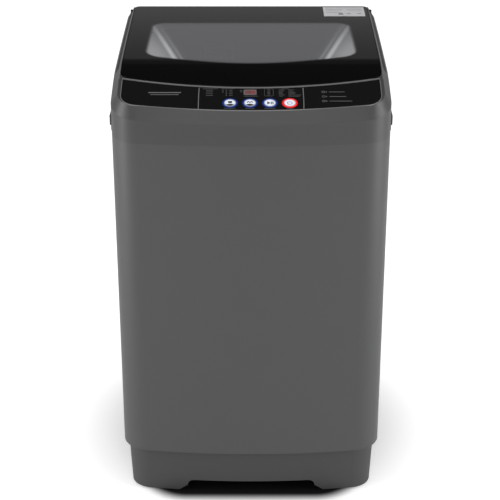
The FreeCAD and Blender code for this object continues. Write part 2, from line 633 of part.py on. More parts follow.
def top_frame():
    """The moulded top: band and rails, lid recess with its hinge trough, mouth and collar."""
    hollow = prism("FrameInside", "cab_bottom", f"{TOP_Z[3]} + 50", cabinet_outline("frame_wall"))
    beside_top(hollow, "frame_depth", above=True)
    shell = cut(frame_envelope(), hollow)
    collar = top_layer("Collar", mouth_outline("collar_wall"), "recess_depth", None)
    clear = sketch_on(collar, "XY_Plane", "seam_height - collar_depth")
    rectangle(clear, ("-cab_width", "cab_width"), ("-cab_depth", "cab_depth"))
    pocket(collar, clear, "seam_height")
    lip = prism("LipOutside", "seam_height - lip_depth", "seam_height + 2",
                cabinet_outline("(sheet_wall + part_gap)"))
    inside = sketch_on(lip, "XY_Plane", "seam_height + 10")
    cabinet_outline("(sheet_wall + part_gap + lip_wall)")(inside)
    pocket(lip, inside)
    bed = box((f"-({HALF} - frame_wall)", f"{HALF} - frame_wall"),
              (f"{REAR} - lid_rear - trough_run - frame_wall", f"{REAR} - frame_wall"),
              (f"{TOP_Z[3]} - trough_depth - trough_floor", f"{TOP_Z[3]} - frame_depth + 1"))
    node(cut(fuse(shell, collar, lip, bed), *frame_cutters()), "top_frame")


def side_handles():
    """Grip beads along both sides, each with a finger cup let into the frame behind it."""
    body = new_body("HandleBead")
    sketch = sketch_on(body, "XZ_Plane", f"-({REAR} - bead_rear)")
    low, high = "(seam_height + bead_low)", "(seam_height + bead_high)"
    loop(sketch, [(HALF, "seam_height + step_low"), (f"{HALF} + step_out", "seam_height + step_low"),
                  (f"{HALF} + step_out", low), (f"{HALF} + bead_out - bead_round", low),
                  (f"{HALF} + bead_out", f"{low} + bead_round", "bead_round"),
                  (f"{HALF} + bead_out", f"{high} - bead_round"),
                  (f"{HALF} + bead_out - bead_round", high, "bead_round"), (HALF, high)])
    pad(body, sketch, f"{REAR} - bead_rear - ({FRONT} + bead_front)")
    front, rear = f"({FRONT} + cup_front)", f"({FRONT} + cup_front + cup_length)"
    top, bottom = "(seam_height + cup_high)", "(seam_height + cup_low)"
    cup = box((f"{HALF} - cup_depth", HALF), (front, rear), (bottom, top))
    floor = f"({bottom} + cup_wall)"
    room = ((f"{HALF} - cup_depth + cup_wall", f"{HALF} - cup_wall"),
            (f"{front} + cup_wall", f"{rear} - cup_wall"), (floor, f"{top} - cup_wall"))
    slit = box((room[0][0], f"{HALF} + 10"), room[1], (floor, low))
    handle = cut(fuse(body, cup), box(*room), slit)
    node(group(handle, mirrored(handle)), "side_handles")


def control_fascia():
    """The glossy black panel face, with a hole for each button ring and the display."""
    face = top_layer("FasciaSheet", fascia_outline(), "fascia_sink", "(fascia_thickness + fascia_sink)")
    holes = [panel_cylinder("button_radius + part_gap + ring_width", "-20", "5",
                            button_x(i)) for i in range(4)]
    slot = panel_box(("display_middle - display_width/2", "display_middle + display_width/2"),
                     ("display_up - display_height/2", "display_up + display_height/2"), ("-20", "5"))
    node(cut(face, slot, *holes), "control_fascia")


def button_rings():
    """The light rings round the buttons, seated on the frame's skin in the fascia's holes."""
    low, high = SEAT_OUT, "ring_proud"
    outer = "(button_radius + part_gap + ring_width - running_gap)"
    rings = [cut(panel_cylinder(outer, low, high, button_x(i)),
                 panel_cylinder("button_radius + part_gap", "-20", "5", button_x(i))) for i in range(4)]
    node(group(*rings), "button_rings")


def buttons():
    """Four push buttons: a dished cap, and a stem that reaches down to its switch."""
    stem_end = "(-board_depth + tact_height + button_travel + part_gap)"
    for i, name in enumerate(("program_button", "level_button", "start_button", "power_button")):
        body = new_body("ButtonTurned")
        sketch = sketch_on(body, "XZ_Plane")
        loop(sketch, [("0", stem_end), ("button_stem", stem_end), ("button_stem", "-button_depth"),
                      ("button_radius", "-button_depth"), ("button_radius", "button_proud - 1"),
                      ("button_radius - 1", "button_proud", "1"),
                      ("button_dish", "button_proud - dish_depth"), ("0", "button_proud - dish_depth")])
        feature = body.newObject("PartDesign::Revolution", "Revolution")
        feature.Profile = sketch
        feature.ReferenceAxis = (sketch, ["V_Axis"])
        feature.Angle = 360
        node(on_panel(body, button_x(i)), name)


def display():
    """The display's window, and the module that lights behind it."""
    half, tall = "display_width/2", "display_height/2"
    window = panel_box((f"display_middle - {half} + 0.1", f"display_middle + {half} - 0.1"),
                       (f"display_up - {tall} + 0.1", f"display_up + {tall} - 0.1"),
                       (SEAT_OUT, "-0.1"))
    node(window, "display_window")


def control_electronics():
    """The circuit board with its four switches and display module, in a tray below the panel."""
    board = panel_box(("-board_half", "board_half"), ("-board_down", "board_up"),
                      ("-board_depth - board_thickness", "-board_depth"))
    switches = [panel_box((f"{button_x(i)} - tact_side/2", f"{button_x(i)} + tact_side/2"),
                          ("-tact_side/2", "tact_side/2"), ("-board_depth", "-board_depth + tact_height"))
                for i in range(4)]
    module = panel_box(("display_middle - display_width/2", "display_middle + display_width/2"),
                       ("display_up - display_height/2", "display_up + display_height/2"),
                       ("-board_depth", f"{SKIN_OUT} - part_gap"))
    node(group(board, module, *switches), "control_board")
    low, wall = "(-board_depth - board_thickness)", "tray_wall"
    outer = panel_box((f"-board_half - {wall} - 1", f"board_half + {wall} + 1"),
                      (f"-board_down - {wall} - 1", f"board_up + {wall} + 1"), (f"{low} - tray_depth",
                                                                                f"{low} + 6"))
    room = panel_box(("-board_half - 1", "board_half + 1"), ("-board_down - 1", "board_up + 1"),
                     (low, "0"))
    well = panel_box(("-board_half + 6", "board_half - 6"), ("-board_down + 6", "board_up - 6"),
                     (f"{low} - tray_depth + {wall}", "0"))
    node(cut(outer, room, well), "control_tray")


def program_trim():
    """Two slim curved bars that mark off the middle of the panel."""
    body = new_body("TrimBar")
    sketch = sketch_on(body, "XY_Plane")
    outside, inside = "-trim_x", "(-trim_x + trim_width)"
    loop(sketch, [(outside, "trim_low", "trim_curve"), (inside, "trim_low"),
                  (inside, "trim_high", "-(trim_curve - trim_width)"), (outside, "trim_high")])
    pad(body, sketch, "trim_height")
    on_panel(body, out=f"{FACE_OUT} + 0.02")
    node(group(body, mirrored(body)), "program_trim")


# Lid

def window_outline():
    def draw(sketch):
        shoulder_y = f"({FRONT} + window_front + window_bow - sqrt(window_bow^2 - window_shoulder^2))"
        side_front, rear = f"({FRONT} + window_side_front)", f"({FRONT} + window_rear)"
        loop(sketch, [
            ("-window_shoulder", shoulder_y, "window_corner"),
            ("window_shoulder", shoulder_y, "window_bow"),
            ("window_half", side_front, "window_corner"),
            ("window_half", f"{rear} - window_bend"),
            ("window_half - window_bend", rear, "window_bend"),
            ("-(window_half - window_bend)", rear),
            ("-window_half", f"{rear} - window_bend", "window_bend"),
            ("-window_half", side_front)])
    return draw


def behind(body, y, low=None):
    """Cut away a body's part in front of a plane across it, or behind it when low is given."""
    sketch = sketch_on(body, "YZ_Plane")
    ends = (f"({FRONT} - {PAST})", y) if low is None else (y, f"({REAR} + {PAST})")
    rectangle(sketch, ends, ("tub_bottom", f"{TOP_Z[3]} + 100"))
    return pocket(body, sketch)


def lid():
    """The lid: a glass sheet and a front grip on a moulded frame, with two hinge pins."""
    seam = f"({FRONT} + grip_seam)"
    low = "(lid_thickness - lid_proud)"
    under_glass = "(glass_thickness - lid_proud)"
    glass = top_layer("GlassSheet", lid_outline(), "-lid_proud", under_glass)
    behind(glass, f"{seam} + part_gap")
    node(glass, "lid_glass")
    grip = top_layer("GripMoulding", lid_outline(), "-lid_proud", low)
    behind(grip, seam, low=True)
    node(grip, "lid_grip")
    rim = top_layer("LidRim", lid_outline("rim_inset"), f"({under_glass} + glue_gap)", low)
    behind(rim, seam)
    window = sketch_on(rim, "XY_Plane")
    window_outline()(window)
    pocket(rim, window)
    pin_start = f"({LID_HALF} - pin_length/2)"
    bore = cylinder("pin_radius + 0.02", "pin_length", pin_start, HINGE_Y, HINGE_Z, "X")
    node(cut(rim, bore, mirrored(bore)), "lid_frame")
    pin = cylinder("pin_radius", "pin_length + lid_gap + 1", pin_start, HINGE_Y, HINGE_Z, "X")
    node(group(pin, mirrored(pin)), "hinge_pins")
    label = top_layer("LabelSheet", label_outline, "(-lid_proud - label_thickness)",
                      "(-lid_proud - 0.03)")
    node(label, "blank_label")


def label_outline(sketch):
    rectangle(sketch, ("label_left", "label_right"),
              (f"{FRONT} + label_front", f"{FRONT} + label_rear"))


def hinge_bushes():
    """Round bushes in the rails, which the lid's pins turn in."""
    start = f"({LID_HALF} + lid_gap)"
    bush = ring("bush_radius", "pin_radius + running_gap", "rail_width - lid_gap - 7", start,
                HINGE_Y, HINGE_Z, "X")
    node(group(bush, mirrored(bush)), "hinge_bushes")


def lid_bumpers():
    """Rubber bumpers on the recess's floor, under the lid's four corners."""
    def draw(sketch):
        for side in (-1, 1):
            for run in ("bumper_front", "bumper_rear"):
                circle(sketch, f"{side}*({LID_HALF} - bumper_inset)", f"{FRONT} + {run}", "bumper_radius")
    pads = top_layer("BumperPads", draw, "(lid_thickness - lid_proud + part_gap)", "recess_depth")
    node(pads, "lid_bumpers")


def lid_switch():
    """The sealed switch under the recess's floor that tells when the lid is shut."""
    def draw(sketch):
        middle, front = f"({LID_HALF} - switch_inset)", f"({FRONT} + switch_front)"
        rectangle(sketch, (f"{middle} - 7", f"{middle} + 7"), (front, f"{front} + 34"))
    node(top_layer("SwitchCase", draw, "frame_depth", "(frame_depth + 9)"), "lid_switch")


# Suspension

def corner_brackets():
    """Steel brackets in the cabinet's four top corners, which carry the suspension rods."""
    brackets = []
    for i, j in CORNERS:
        plate = signed_box(i, j, (f"{ROD_X} - bracket_reach", INNER_X), "0", "bracket_thickness")
        flange = signed_box(i, j, (f"{INNER_X} - bracket_thickness", INNER_X), "-bracket_drop",
                            "bracket_thickness")
        hole = cylinder("rod_radius + part_gap", "40", f"{i}*{ROD_X}", f"{j}*{ROD_Y}", f"{ROD_TOP} - 20")
        brackets.append(cut(fuse(plate, flange), hole))
    node(group(*brackets), "corner_brackets")


def signed_box(i, j, x, low, high):
    """A box in one of the four corners, round a suspension rod."""
    xs = x if i > 0 else (f"-({x[1]})", f"-({x[0]})")
    middle = f"{j}*{ROD_Y}"
    reach = ("bracket_lap", "(rod_inset_y - 1)")
    ys = (f"{middle} - {reach[0 if j > 0 else 1]}", f"{middle} + {reach[1 if j > 0 else 0]}")
    return box(xs, ys, (f"{ROD_TOP} + {low}", f"{ROD_TOP} + {high}"))


def suspension():
    """Rods that hang from the corner brackets, each with a spring in a cup under a tub lug."""
    rods, springs = [], []
    cup_top = "(lug_bottom - spring_length)"
    for i, j in CORNERS:
        x, y = f"{i}*{ROD_X}", f"{j}*{ROD_Y}"
        bottom = f"({cup_top} - rod_cup_height - rod_tail)"
        shank = cylinder("rod_radius", f"{ROD_TOP} + bracket_thickness - {bottom}", x, y, bottom)
        cup = cylinder("rod_cup_radius", "rod_cup_height", x, y, f"{cup_top} - rod_cup_height")
        head = bind(place(doc.addObject("Part::Sphere", "Ball"), x, y,
                          f"{ROD_TOP} + bracket_thickness + 5"),
                    Radius="7", Angle1="-45.5")
        rods.append(fuse(shank, cup, head))
        springs.append(coil_spring(x, y, cup_top))
    node(group(*rods), "suspension_rods")
    node(group(*springs), "suspension_springs")


def coil_spring(x, y, low):
    """One coil of round wire between the rod's cup and the tub's lug."""
    body = new_body("Coil")
    sketch = sketch_on(body, "XZ_Plane")
    circle(sketch, "spring_radius", "0", "spring_wire/2")
    helix = bind(body.newObject("PartDesign::AdditiveHelix", "Helix"),
                 Pitch="(spring_length - spring_wire - 2*part_gap)/spring_turns",
                 Height="spring_length - spring_wire - 2*part_gap")
    helix.Profile = sketch
    helix.ReferenceAxis = (sketch, ["V_Axis"])
    helix.Mode = 0
    return place(body, x, y, f"{low} + spring_wire/2 + part_gap")


# Tub

def outer_tub():
    """The plastic tub, with four lugs on arms and an air trap for the level sensor."""
    shell = revolved("TubShell", [
        ("seal_radius + running_gap", "tub_bottom"), (TUB_R, "tub_bottom"), (TUB_R, TUB_TOP),
        (TUB_IN, TUB_TOP), (TUB_IN, "tub_bottom + tub_floor"),
        ("seal_radius + running_gap", "tub_bottom + tub_floor")])
    bosses = []
    for i, j in CORNERS:
        x, y = f"{i}*{ROD_X}", f"{j}*{ROD_Y}"
        bosses.append(cylinder("lug_radius", "lug_height", x, y, "lug_bottom"))
        bosses.append(lug_arm(i, j))
    trap_x = f"{INNER_X} - tube_x"
    trap = box((f"{TUB_IN} - 12", f"{trap_x} + 7"),
               ("sensor_y - trap_width/2", "sensor_y + trap_width/2"), ("trap_bottom",
                                                                        "trap_bottom + trap_height"))
    inside = cylinder(TUB_IN, f"{TUB_TOP} - tub_bottom - tub_floor", z="tub_bottom + tub_floor")
    holes = [cylinder("lug_bore", "60", f"{i}*{ROD_X}", f"{j}*{ROD_Y}", "lug_bottom - 20")
             for i, j in CORNERS]
    outlet = cylinder("neck_radius", "20", "drain_x", "drain_y", "tub_bottom - 10")
    node(cut(fuse(cut(fuse(*bosses, trap), inside), shell), outlet, *holes), "outer_tub")


def lug_arm(i, j):
    """The rib from the tub's wall out to one lug."""
    length = f"(sqrt({ROD_X}^2 + {ROD_Y}^2) - {TUB_R} + 6)"
    arm = bind(doc.addObject("Part::Box", "Arm"), Length=length, Width="arm_width", Height="arm_height")
    angle = atan2(j*size(ROD_Y), i*size(ROD_X))
    arm.Placement = Placement(Vector(), Rotation(Vector(0, 0, 1), angle*180/pi))
    reach = f"sqrt({ROD_X}^2 + {ROD_Y}^2)"
    along, across = (f"{i}*{ROD_X}/{reach}", f"{j}*{ROD_Y}/{reach}"), "arm_width/2"
    start = f"({TUB_R} - 6)"
    arm.setExpression("Placement.Rotation.Angle", bound(f"atan2({j}*{ROD_Y}; {i}*{ROD_X})"))
    arm.setExpression("Placement.Base.x", bound(f"{start}*{along[0]} + {across}*{along[1]}"))
    arm.setExpression("Placement.Base.y", bound(f"{start}*{along[1]} - {across}*{along[0]}"))
    arm.setExpression("Placement.Base.z", bound("lug_bottom"))
    return arm


def tub_cover():
    """The ring that closes the tub's top over the drum's rim."""
    inner = f"({TUB_R} - cover_overlap)"
    low = TUB_TOP
    node(revolved("CoverRing", [
        (inner, f"{low} + cover_height - cover_wall"), (f"{inner} + cover_wall",
                                                        f"{low} + cover_height - 2*cover_wall"),
        (f"{TUB_IN} - 1", low), (TUB_R, low), (TUB_R, f"{low} + cover_wall"),
        (f"{TUB_IN} - 1", f"{low} + 2*cover_wall"), (f"{inner} + cover_wall", f"{low} + cover_height")]),
        "tub_cover")


def under_tub():
    """What hangs below the tub: plate, clutch case, bearings, seal, motor, drain and drive."""
    plate_low = "(tub_bottom - plate_thickness)"
    plate = cylinder("plate_radius", "plate_thickness", z=plate_low)
    bore = cylinder("bearing_radius + 1", "20", z="tub_bottom - 10")
    neck = cylinder("neck_radius + 2", "20", "drain_x", "drain_y", "tub_bottom - 10")
    node(cut(plate, bore, neck), "suspension_plate")
    shaft = "(spin_tube_radius + running_gap)"
    case = revolved("ClutchCase", [
        ("bearing_radius", "clutch_bottom + 4"), ("clutch_radius - 4", "clutch_bottom + 4"),
        ("clutch_radius - 4", f"{plate_low} - 26"), ("bearing_radius", f"{plate_low} - 26"),
        ("bearing_radius", plate_low), ("clutch_radius", plate_low), ("clutch_radius", "clutch_bottom"),
        ("pulley_bore + 3", "clutch_bottom"), ("pulley_bore + 3", "clutch_bottom + 4")])
    node(case, "clutch_housing")
    bearings = [ring("bearing_radius - running_gap", shaft, "bearing_height", z=z)
                for z in (f"{plate_low} - 24", f"{plate_low} - bearing_height")]
    node(group(*bearings), "shaft_bearings")
    node(ring("seal_radius", shaft, "seal_height", z="tub_bottom + part_gap"), "water_seal")


def motor():
    """The motor: a case hung from the plate, and a rotor shaft that carries its own pulley."""
    top = "(tub_bottom - plate_thickness)"
    case = cut(cylinder("motor_radius", f"{top} - motor_bottom", "motor_x", z="motor_bottom"),
               cylinder("motor_radius - motor_wall", f"{top} - motor_bottom - 2*motor_wall", "motor_x",
                        z="motor_bottom + motor_wall"),
               cylinder("motor_shaft_radius + running_gap", "20", "motor_x", z="motor_bottom - 5"))
    node(case, "motor_housing")
    low, high = "pulley_bottom", "(pulley_bottom + pulley_height)"
    turned = revolved("MotorRotor", grooved("motor_pulley_radius", low, high) + [
        ("motor_shaft_radius", high), ("motor_shaft_radius", "motor_bottom + 20"),
        ("rotor_radius", "motor_bottom + 20"), ("rotor_radius", "motor_bottom + 20 + rotor_height"),
        ("0", "motor_bottom + 20 + rotor_height")])
    node(place(turned, "motor_x"), "motor_rotor")


def grooved(radius, low, high):
    """The outline of a pulley's rim, from its axis out and up round the belt's groove."""
    middle = f"({low} + ({high} - {low})/2)"
    return [("0", low), (radius, low), (radius, f"{middle} - groove_height/2"),
            (f"{radius} - groove_depth", f"{middle} - groove_height/2"),
            (f"{radius} - groove_depth", f"{middle} + groove_height/2"),
            (radius, f"{middle} + groove_height/2"), (radius, high)]


def drive_pulley():
    """The large pulley on the clutch's input shaft."""
    low, high = "pulley_bottom", "(pulley_bottom + pulley_height)"
    body = revolved("LargePulley", grooved("pulley_radius", low, high) + [
        ("pulley_radius - 14", high), ("pulley_radius - 16", f"{low} + 4"), ("18", f"{low} + 4"),
        ("16", high), ("pulley_bore", high), ("pulley_bore", "clutch_bottom + 8"), ("0",
                                                                                    "clutch_bottom + 8")])
    node(body, "drive_pulley")


def belt_outline(sketch, grow):
    """The belt's path round both pulleys, grown outwards from the grooves."""
    big = f"(pulley_radius - groove_depth + {grow})"
    small = f"(motor_pulley_radius - groove_depth + {grow})"
    lean = "((pulley_radius - motor_pulley_radius)/abs(motor_x))"
    side = f"sqrt(1 - {lean}^2)"
    loop(sketch, [
        (f"-{big}*{lean}", f"{big}*{side}", big),
        (f"motor_x - {small}*{lean}", f"{small}*{side}"),
        (f"motor_x - {small}*{lean}", f"-{small}*{side}", small),
        (f"-{big}*{lean}", f"-{big}*{side}"),
        (big, "0", big)])


def drive_belt():
    body = new_body("BeltLoop")
    middle = "(pulley_bottom + pulley_height/2)"
    sketch = sketch_on(body, "XY_Plane", f"{middle} - belt_height/2")
    belt_outline(sketch, "(part_gap + belt_thickness)")
    belt_outline(sketch, "part_gap")
    pad(body, sketch, "belt_height")
    node(body, "drive_belt")


def drain():
    """The drain valve under the tub with its plunger, and the motor that pulls it open."""
    left = "(drain_x - drainer_length/2)"
    case = cylinder("drainer_radius", "drainer_length", left, "drain_y", "drainer_z", "X")
    neck = cylinder("neck_radius", "tub_bottom - drainer_z", "drain_x", "drain_y", "drainer_z")
    outlet = cylinder("neck_radius", "drainer_radius + neck_drop", "drain_x", "drain_y",
                      "drainer_z - drainer_radius - neck_drop")
    room = cylinder("drainer_radius - drainer_wall", "drainer_length - 2*drainer_wall",
                    f"{left} + drainer_wall", "drain_y", "drainer_z", "X")
    way = cylinder("neck_radius - 2.5", "200", "drain_x", "drain_y", "drainer_z - 100")
    rod_hole = cylinder("pull_rod_radius + part_gap", "20", f"{left} - 10", "drain_y", "drainer_z", "X")
    node(cut(fuse(case, neck, outlet), room, way, rod_hole), "drain_valve")
    start = "(drain_x - plunger_length/2)"
    head = cylinder("plunger_radius", "plunger_length", start, "drain_y", "drainer_z", "X")
    puller_end = "(puller_x + puller_length)"
    rod_start = f"({puller_end} - pull_travel - 14)"
    rod = cylinder("pull_rod_radius", f"{start} - {rod_start} + 1", rod_start, "drain_y", "drainer_z",
                   "X")
    collar = cylinder("collar_radius", "collar_length", "lever_x + lever_width/2 + part_gap", "drain_y",
                      "drainer_z", "X")
    node(fuse(head, rod, collar), "drain_plunger")
    top = "(tub_bottom - plate_thickness)"
    body = box(("puller_x", puller_end), ("drain_y - puller_width/2", "drain_y + puller_width/2"),
               ("drainer_z - puller_height/2", top))
    slide = cylinder("pull_rod_radius + part_gap", "puller_length - 10", "puller_x + 12", "drain_y",
                     "drainer_z", "X")
    node(cut(body, slide), "traction_actuator")


def clutch_lever():
    """The brake lever beside the clutch case, which the pull rod swings."""
    low = "(drainer_z - lever_thickness/2)"
    boss = cylinder("lever_width/2 + 2", "lever_thickness", "lever_x", "lever_y", low)
    arm = box(("lever_x - lever_width/2", "lever_x + lever_width/2"), ("lever_y",
                                                                       "lever_y + lever_length"),
              (low, f"{low} + lever_thickness"))
    pin = cylinder("lever_pin", f"tub_bottom - plate_thickness - {low} + 3 - part_gap", "lever_x",
                   "lever_y",
                   f"{low} - 3")
    node(fuse(boss, arm, pin), "clutch_lever")


# Drum and pulsator

def drum():
    """The spin drum: steel shell, moulded floor, balance ring, lint filters and hollow shaft."""
    floor = "drum_floor"
    node(revolved("DrumShell", [
        (f"{DRUM_R} - drum_sheet", floor), (DRUM_R, floor), (DRUM_R, f"{DRUM_TOP} - ring_height"),
        (f"{DRUM_R} - drum_sheet", f"{DRUM_TOP} - ring_height")]), "drum_shell")
    tube = "(spin_tube_radius + running_gap)"
    node(revolved("DrumFloor", [
        (tube, "hub_bottom"), ("hub_radius", "hub_bottom"), ("hub_radius + 14", floor),
        (f"{DRUM_R} - drum_sheet", floor), (f"{DRUM_R} - drum_sheet", f"{floor} + 14"),
        (f"{DRUM_R} - drum_sheet - 3", f"{floor} + 14"), (f"{DRUM_R} - drum_sheet - 3",
                                                          f"{floor} + drum_under"),
        (tube, f"{floor} + drum_under")]), "drum_floor_moulding")
    node(revolved("BalanceRing", [
        (f"{DRUM_R} - ring_depth", f"{DRUM_TOP} - ring_height + 6", ), (f"{DRUM_R} - ring_depth + 6",
                                                                        f"{DRUM_TOP} - ring_height"),
        (DRUM_R, f"{DRUM_TOP} - ring_height"), (DRUM_R, DRUM_TOP), (f"{DRUM_R} - ring_depth",
                                                                    DRUM_TOP)]), "balance_ring")
    node(ring("spin_tube_radius", "wash_shaft_radius + running_gap",
              "drum_floor + drum_under - spin_tube_bottom", z="spin_tube_bottom"), "spin_tube")
    wall = f"({DRUM_R} - drum_sheet)"
    top = f"({DRUM_TOP} - ring_height - filter_top_gap)"
    block = box((f"{wall} - filter_depth", wall), ("-filter_width/2", "filter_width/2"),
                (f"{top} - filter_height", top))
    inner = doc.addObject("Part::Common", "Curved")
    inner.Base = block
    inner.Tool = cylinder(f"{wall} - part_gap", "filter_height + 20", z=f"{top} - filter_height - 10")
    node(group(inner, mirrored(inner)), "lint_filters")


def pulsator():
    """The washing disc with its raised vanes, the shaft that turns it and its cap screw."""
    low, bore = "(drum_floor + pulsator_lift)", "(wash_shaft_radius + running_gap)"
    disc = revolved("PulsatorDisc", [
        (bore, low), ("pulsator_radius", low), ("pulsator_radius", f"{low} + pulsator_rim"),
        ("pulsator_hub", f"{low} + pulsator_rim + 10", ), ("24", f"{low} + pulsator_dome"),
        (bore, f"{low} + pulsator_dome")])
    vanes = []
    for i in range(int(size("vane_count"))):
        vane = bind(doc.addObject("Part::Box", "Vane"), Length="pulsator_radius - 34",
                    Width="vane_width", Height="vane_height")
        vane.Placement = Placement(Vector(), Rotation(Vector(0, 0, 1), i*360/size("vane_count")))
        spin = f"({i}*360/vane_count)"
        vane.setExpression("Placement.Rotation.Angle", bound(spin))
        vane.setExpression("Placement.Base.x", bound(f"22*cos{spin} + vane_width/2*sin{spin}"))
        vane.setExpression("Placement.Base.y", bound(f"22*sin{spin} - vane_width/2*cos{spin}"))
        vane.setExpression("Placement.Base.z", bound(f"{low} + pulsator_rim - 1"))
        vanes.append(vane)
    node(fuse(disc, *vanes), "pulsator")
    top = f"({low} + pulsator_dome)"
    node(cylinder("wash_shaft_radius", f"{top} - spin_tube_bottom - 4", z="spin_tube_bottom + 4"),
         "wash_shaft")
    node(cylinder("cap_radius", "cap_height", z=top), "pulsator_cap")


# Water and electrics

def inlet():
    """The inlet valve with its hose thread at the rear, and the spout into the mouth."""
    half = "valve_side/2"
    block = box((f"valve_x - {half}", f"valve_x + {half}"), (f"{INNER_REAR} - valve_depth", INNER_REAR),
                (f"valve_z - {half}", f"valve_z + {half}"))
    thread = cylinder("inlet_radius", "rear_fittings + sheet_wall + 1", "valve_x", f"{INNER_REAR} - 1",
                      "valve_z", "Y")
    bore = cylinder("inlet_bore", "rear_fittings + 12", "valve_x", f"{INNER_REAR} - 10", "valve_z", "Y")
    coil = cylinder("coil_radius", "coil_height", "valve_x", f"{INNER_REAR} - valve_depth/2",
                    f"valve_z - {half} - coil_height")
    node(cut(fuse(block, thread, coil), bore), "inlet_valve")
    wall = "spout_wall"
    left, right = "(valve_x - 14)", "spout_right"
    front, rear = f"({REAR} - spout_front)", f"({REAR} - spout_rear)"
    nose = ((f"{right} - spout_nose", right), (f"{REAR} - mouth_rear - 2", f"{front} + 1"))
    height = ("spout_low", "spout_high")
    outer = fuse(box((left, right), (front, rear), height), box(*nose, height),
                 cylinder("11", f"spout_low - valve_z - {half} + 1", "valve_x",
                          f"{INNER_REAR} - valve_depth/2",
                          f"valve_z + {half}"))
    inside = [box((f"{left} + {wall}", f"{right} - {wall}"), (f"{front} + {wall}", f"{rear} - {wall}"),
                  (f"spout_low + {wall}", f"spout_high - {wall}")),
              box((f"{nose[0][0]} + {wall}", f"{nose[0][1]} - {wall}"), (f"{nose[1][0]} - 5",
                                                                         f"{front} + {wall} + 1"),
                  (f"spout_low + {wall}", f"spout_high - {wall}")),
              cylinder("8", "200", "valve_x", f"{INNER_REAR} - valve_depth/2", f"valve_z + {half} - 1")]
    top = box((left, right), (front, rear), (f"spout_high - {wall}", "spout_high"))
    node(fuse(cut(outer, *inside), top), "inlet_spout")


def drain_parts():
    """The outlet spigot through the base's rear wall, and the hose down to it."""
    base_rear = f"({REAR} - base_inset)"
    shank = cylinder("drain_shank", f"{base_rear} - drain_pipe_inner", "drain_x", "drain_pipe_inner",
                     "drain_z", "Y")
    spigot = cylinder("drain_radius", f"{REAR} + rear_fittings - {base_rear} + 1", "drain_x",
                      f"{base_rear} - 1", "drain_z", "Y")
    bore = cylinder("drain_bore", "cab_depth", "drain_x", "0", "drain_z", "Y")
    node(cut(fuse(shank, spigot), bore), "drain_outlet")
    body = new_body("HoseBend")
    spine = sketch_on(body, "YZ_Plane", "drain_x")
    low = "drain_z"
    top = "(drainer_z - drainer_radius - neck_drop - part_gap)"
    number = [("drain_y", top), ("drain_y", f"{low} + hose_bend"), ("drain_y + hose_bend", low),
              ("(drain_pipe_inner - part_gap)", low)]
    points = [Vector(size(y), size(z), 0) for y, z in number]
    first = sketch_line(spine, points[0], points[1])
    bend = arc_between(spine, points[1], points[2], size("hose_bend"))[0]
    last = sketch_line(spine, points[2], points[3])
    spine.addConstraint(Sketcher.Constraint("Tangent", first, 2, bend, 1))
    spine.addConstraint(Sketcher.Constraint("Tangent", bend, 2, last, 1))
    for geometry, end, (y, z), point in ((first, 1, number[0], points[0]), (last, 2, number[3],
                                                                            points[3])):
        dimension(spine, Sketcher.Constraint("DistanceX", -1, 1, geometry, end, point.x), y)
        dimension(spine, Sketcher.Constraint("DistanceY", -1, 1, geometry, end, point.y), z)
    dimension(spine, Sketcher.Constraint("Radius", bend, size("hose_bend")), "hose_bend")
    profile = sketch_on(body, "XY_Plane", top)
    circle(profile, "drain_x", "drain_y", "hose_radius")
    circle(profile, "drain_x", "drain_y", "hose_radius - 2")
    pipe = body.newObject("PartDesign::AdditivePipe", "Pipe")
    pipe.Profile = profile
    pipe.Spine = (spine, ["Edge1", "Edge2", "Edge3"])
    node(body, "drain_hose")


def sketch_line(sketch, start, end):
    return sketch.addGeometry(Part.LineSegment(start, end))


def electrics():
    """The cord gland, the water level sensor with its air tube, and the motor's capacitor."""
    outside = cylinder("gland_radius + 4", "3", "gland_x", REAR, "gland_z", "Y")
    through = cylinder("gland_radius - running_gap", "16", "gland_x", f"{REAR} - 8", "gland_z", "Y")
    bore = cylinder("cord_bore", "60", "gland_x", f"{REAR} - 30", "gland_z", "Y")
    node(cut(fuse(outside, through), bore), "cord_gland")
    tube_x = f"({INNER_X} - tube_x)"
    case = cylinder("sensor_radius", "sensor_depth + 3", f"{INNER_X} - sensor_depth - 3", "sensor_y",
                    "sensor_z", "X")
    node(case, "level_sensor")
    low, high = "(trap_bottom + trap_height + part_gap)", "(sensor_z - sensor_radius - part_gap)"
    node(ring("tube_radius", "tube_radius - 1", f"{high} - {low}", tube_x, "sensor_y", low),
         "pressure_tube")
    back = f"({INNER_REAR} - sheet_wall)"
    barrel = cylinder("capacitor_radius", "capacitor_length", "capacitor_x",
                      f"{back} - capacitor_radius - 2",
                      "capacitor_z", "X")
    strap = box(("capacitor_x + 30", "capacitor_x + 50"), (f"{back} - 8", back),
                ("capacitor_z - capacitor_radius", "capacitor_z + capacitor_radius"))
    node(fuse(barrel, strap), "capacitor")


def main():
    cabinet_wrap()
    rear_panel()
    base_frame()
    feet()
    bottom_guard()
    top_frame()
    side_handles()
    control_fascia()
    button_rings()
    buttons()
    display()
    control_electronics()
    program_trim()
    lid()
    hinge_bushes()
    lid_bumpers()
    lid_switch()
    corner_brackets()
    suspension()
    outer_tub()
    tub_cover()
    under_tub()
    motor()
    drive_pulley()
    drive_belt()
    drain()
    clutch_lever()
    drum()
    pulsator()
    inlet()
    drain_parts()
    electrics()
    doc.recompute()
    failed = [thing.Label for thing in doc.Objects if {"Invalid", "Error"} & set(thing.State)]
    if failed:
        raise ValueError(f"these objects failed: {failed}")
    for piece in NODES:
        if piece.Shape.isNull() or not piece.Shape.isValid():
            raise ValueError(f"{piece.Label} has no valid shape")
    os.makedirs("parts", exist_ok=True)
    for piece in NODES:
        piece.Shape.exportStep(f"parts/{piece.Label}.step")


main()
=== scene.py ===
import json
from math import asin, cos, pi, radians, sin, tan

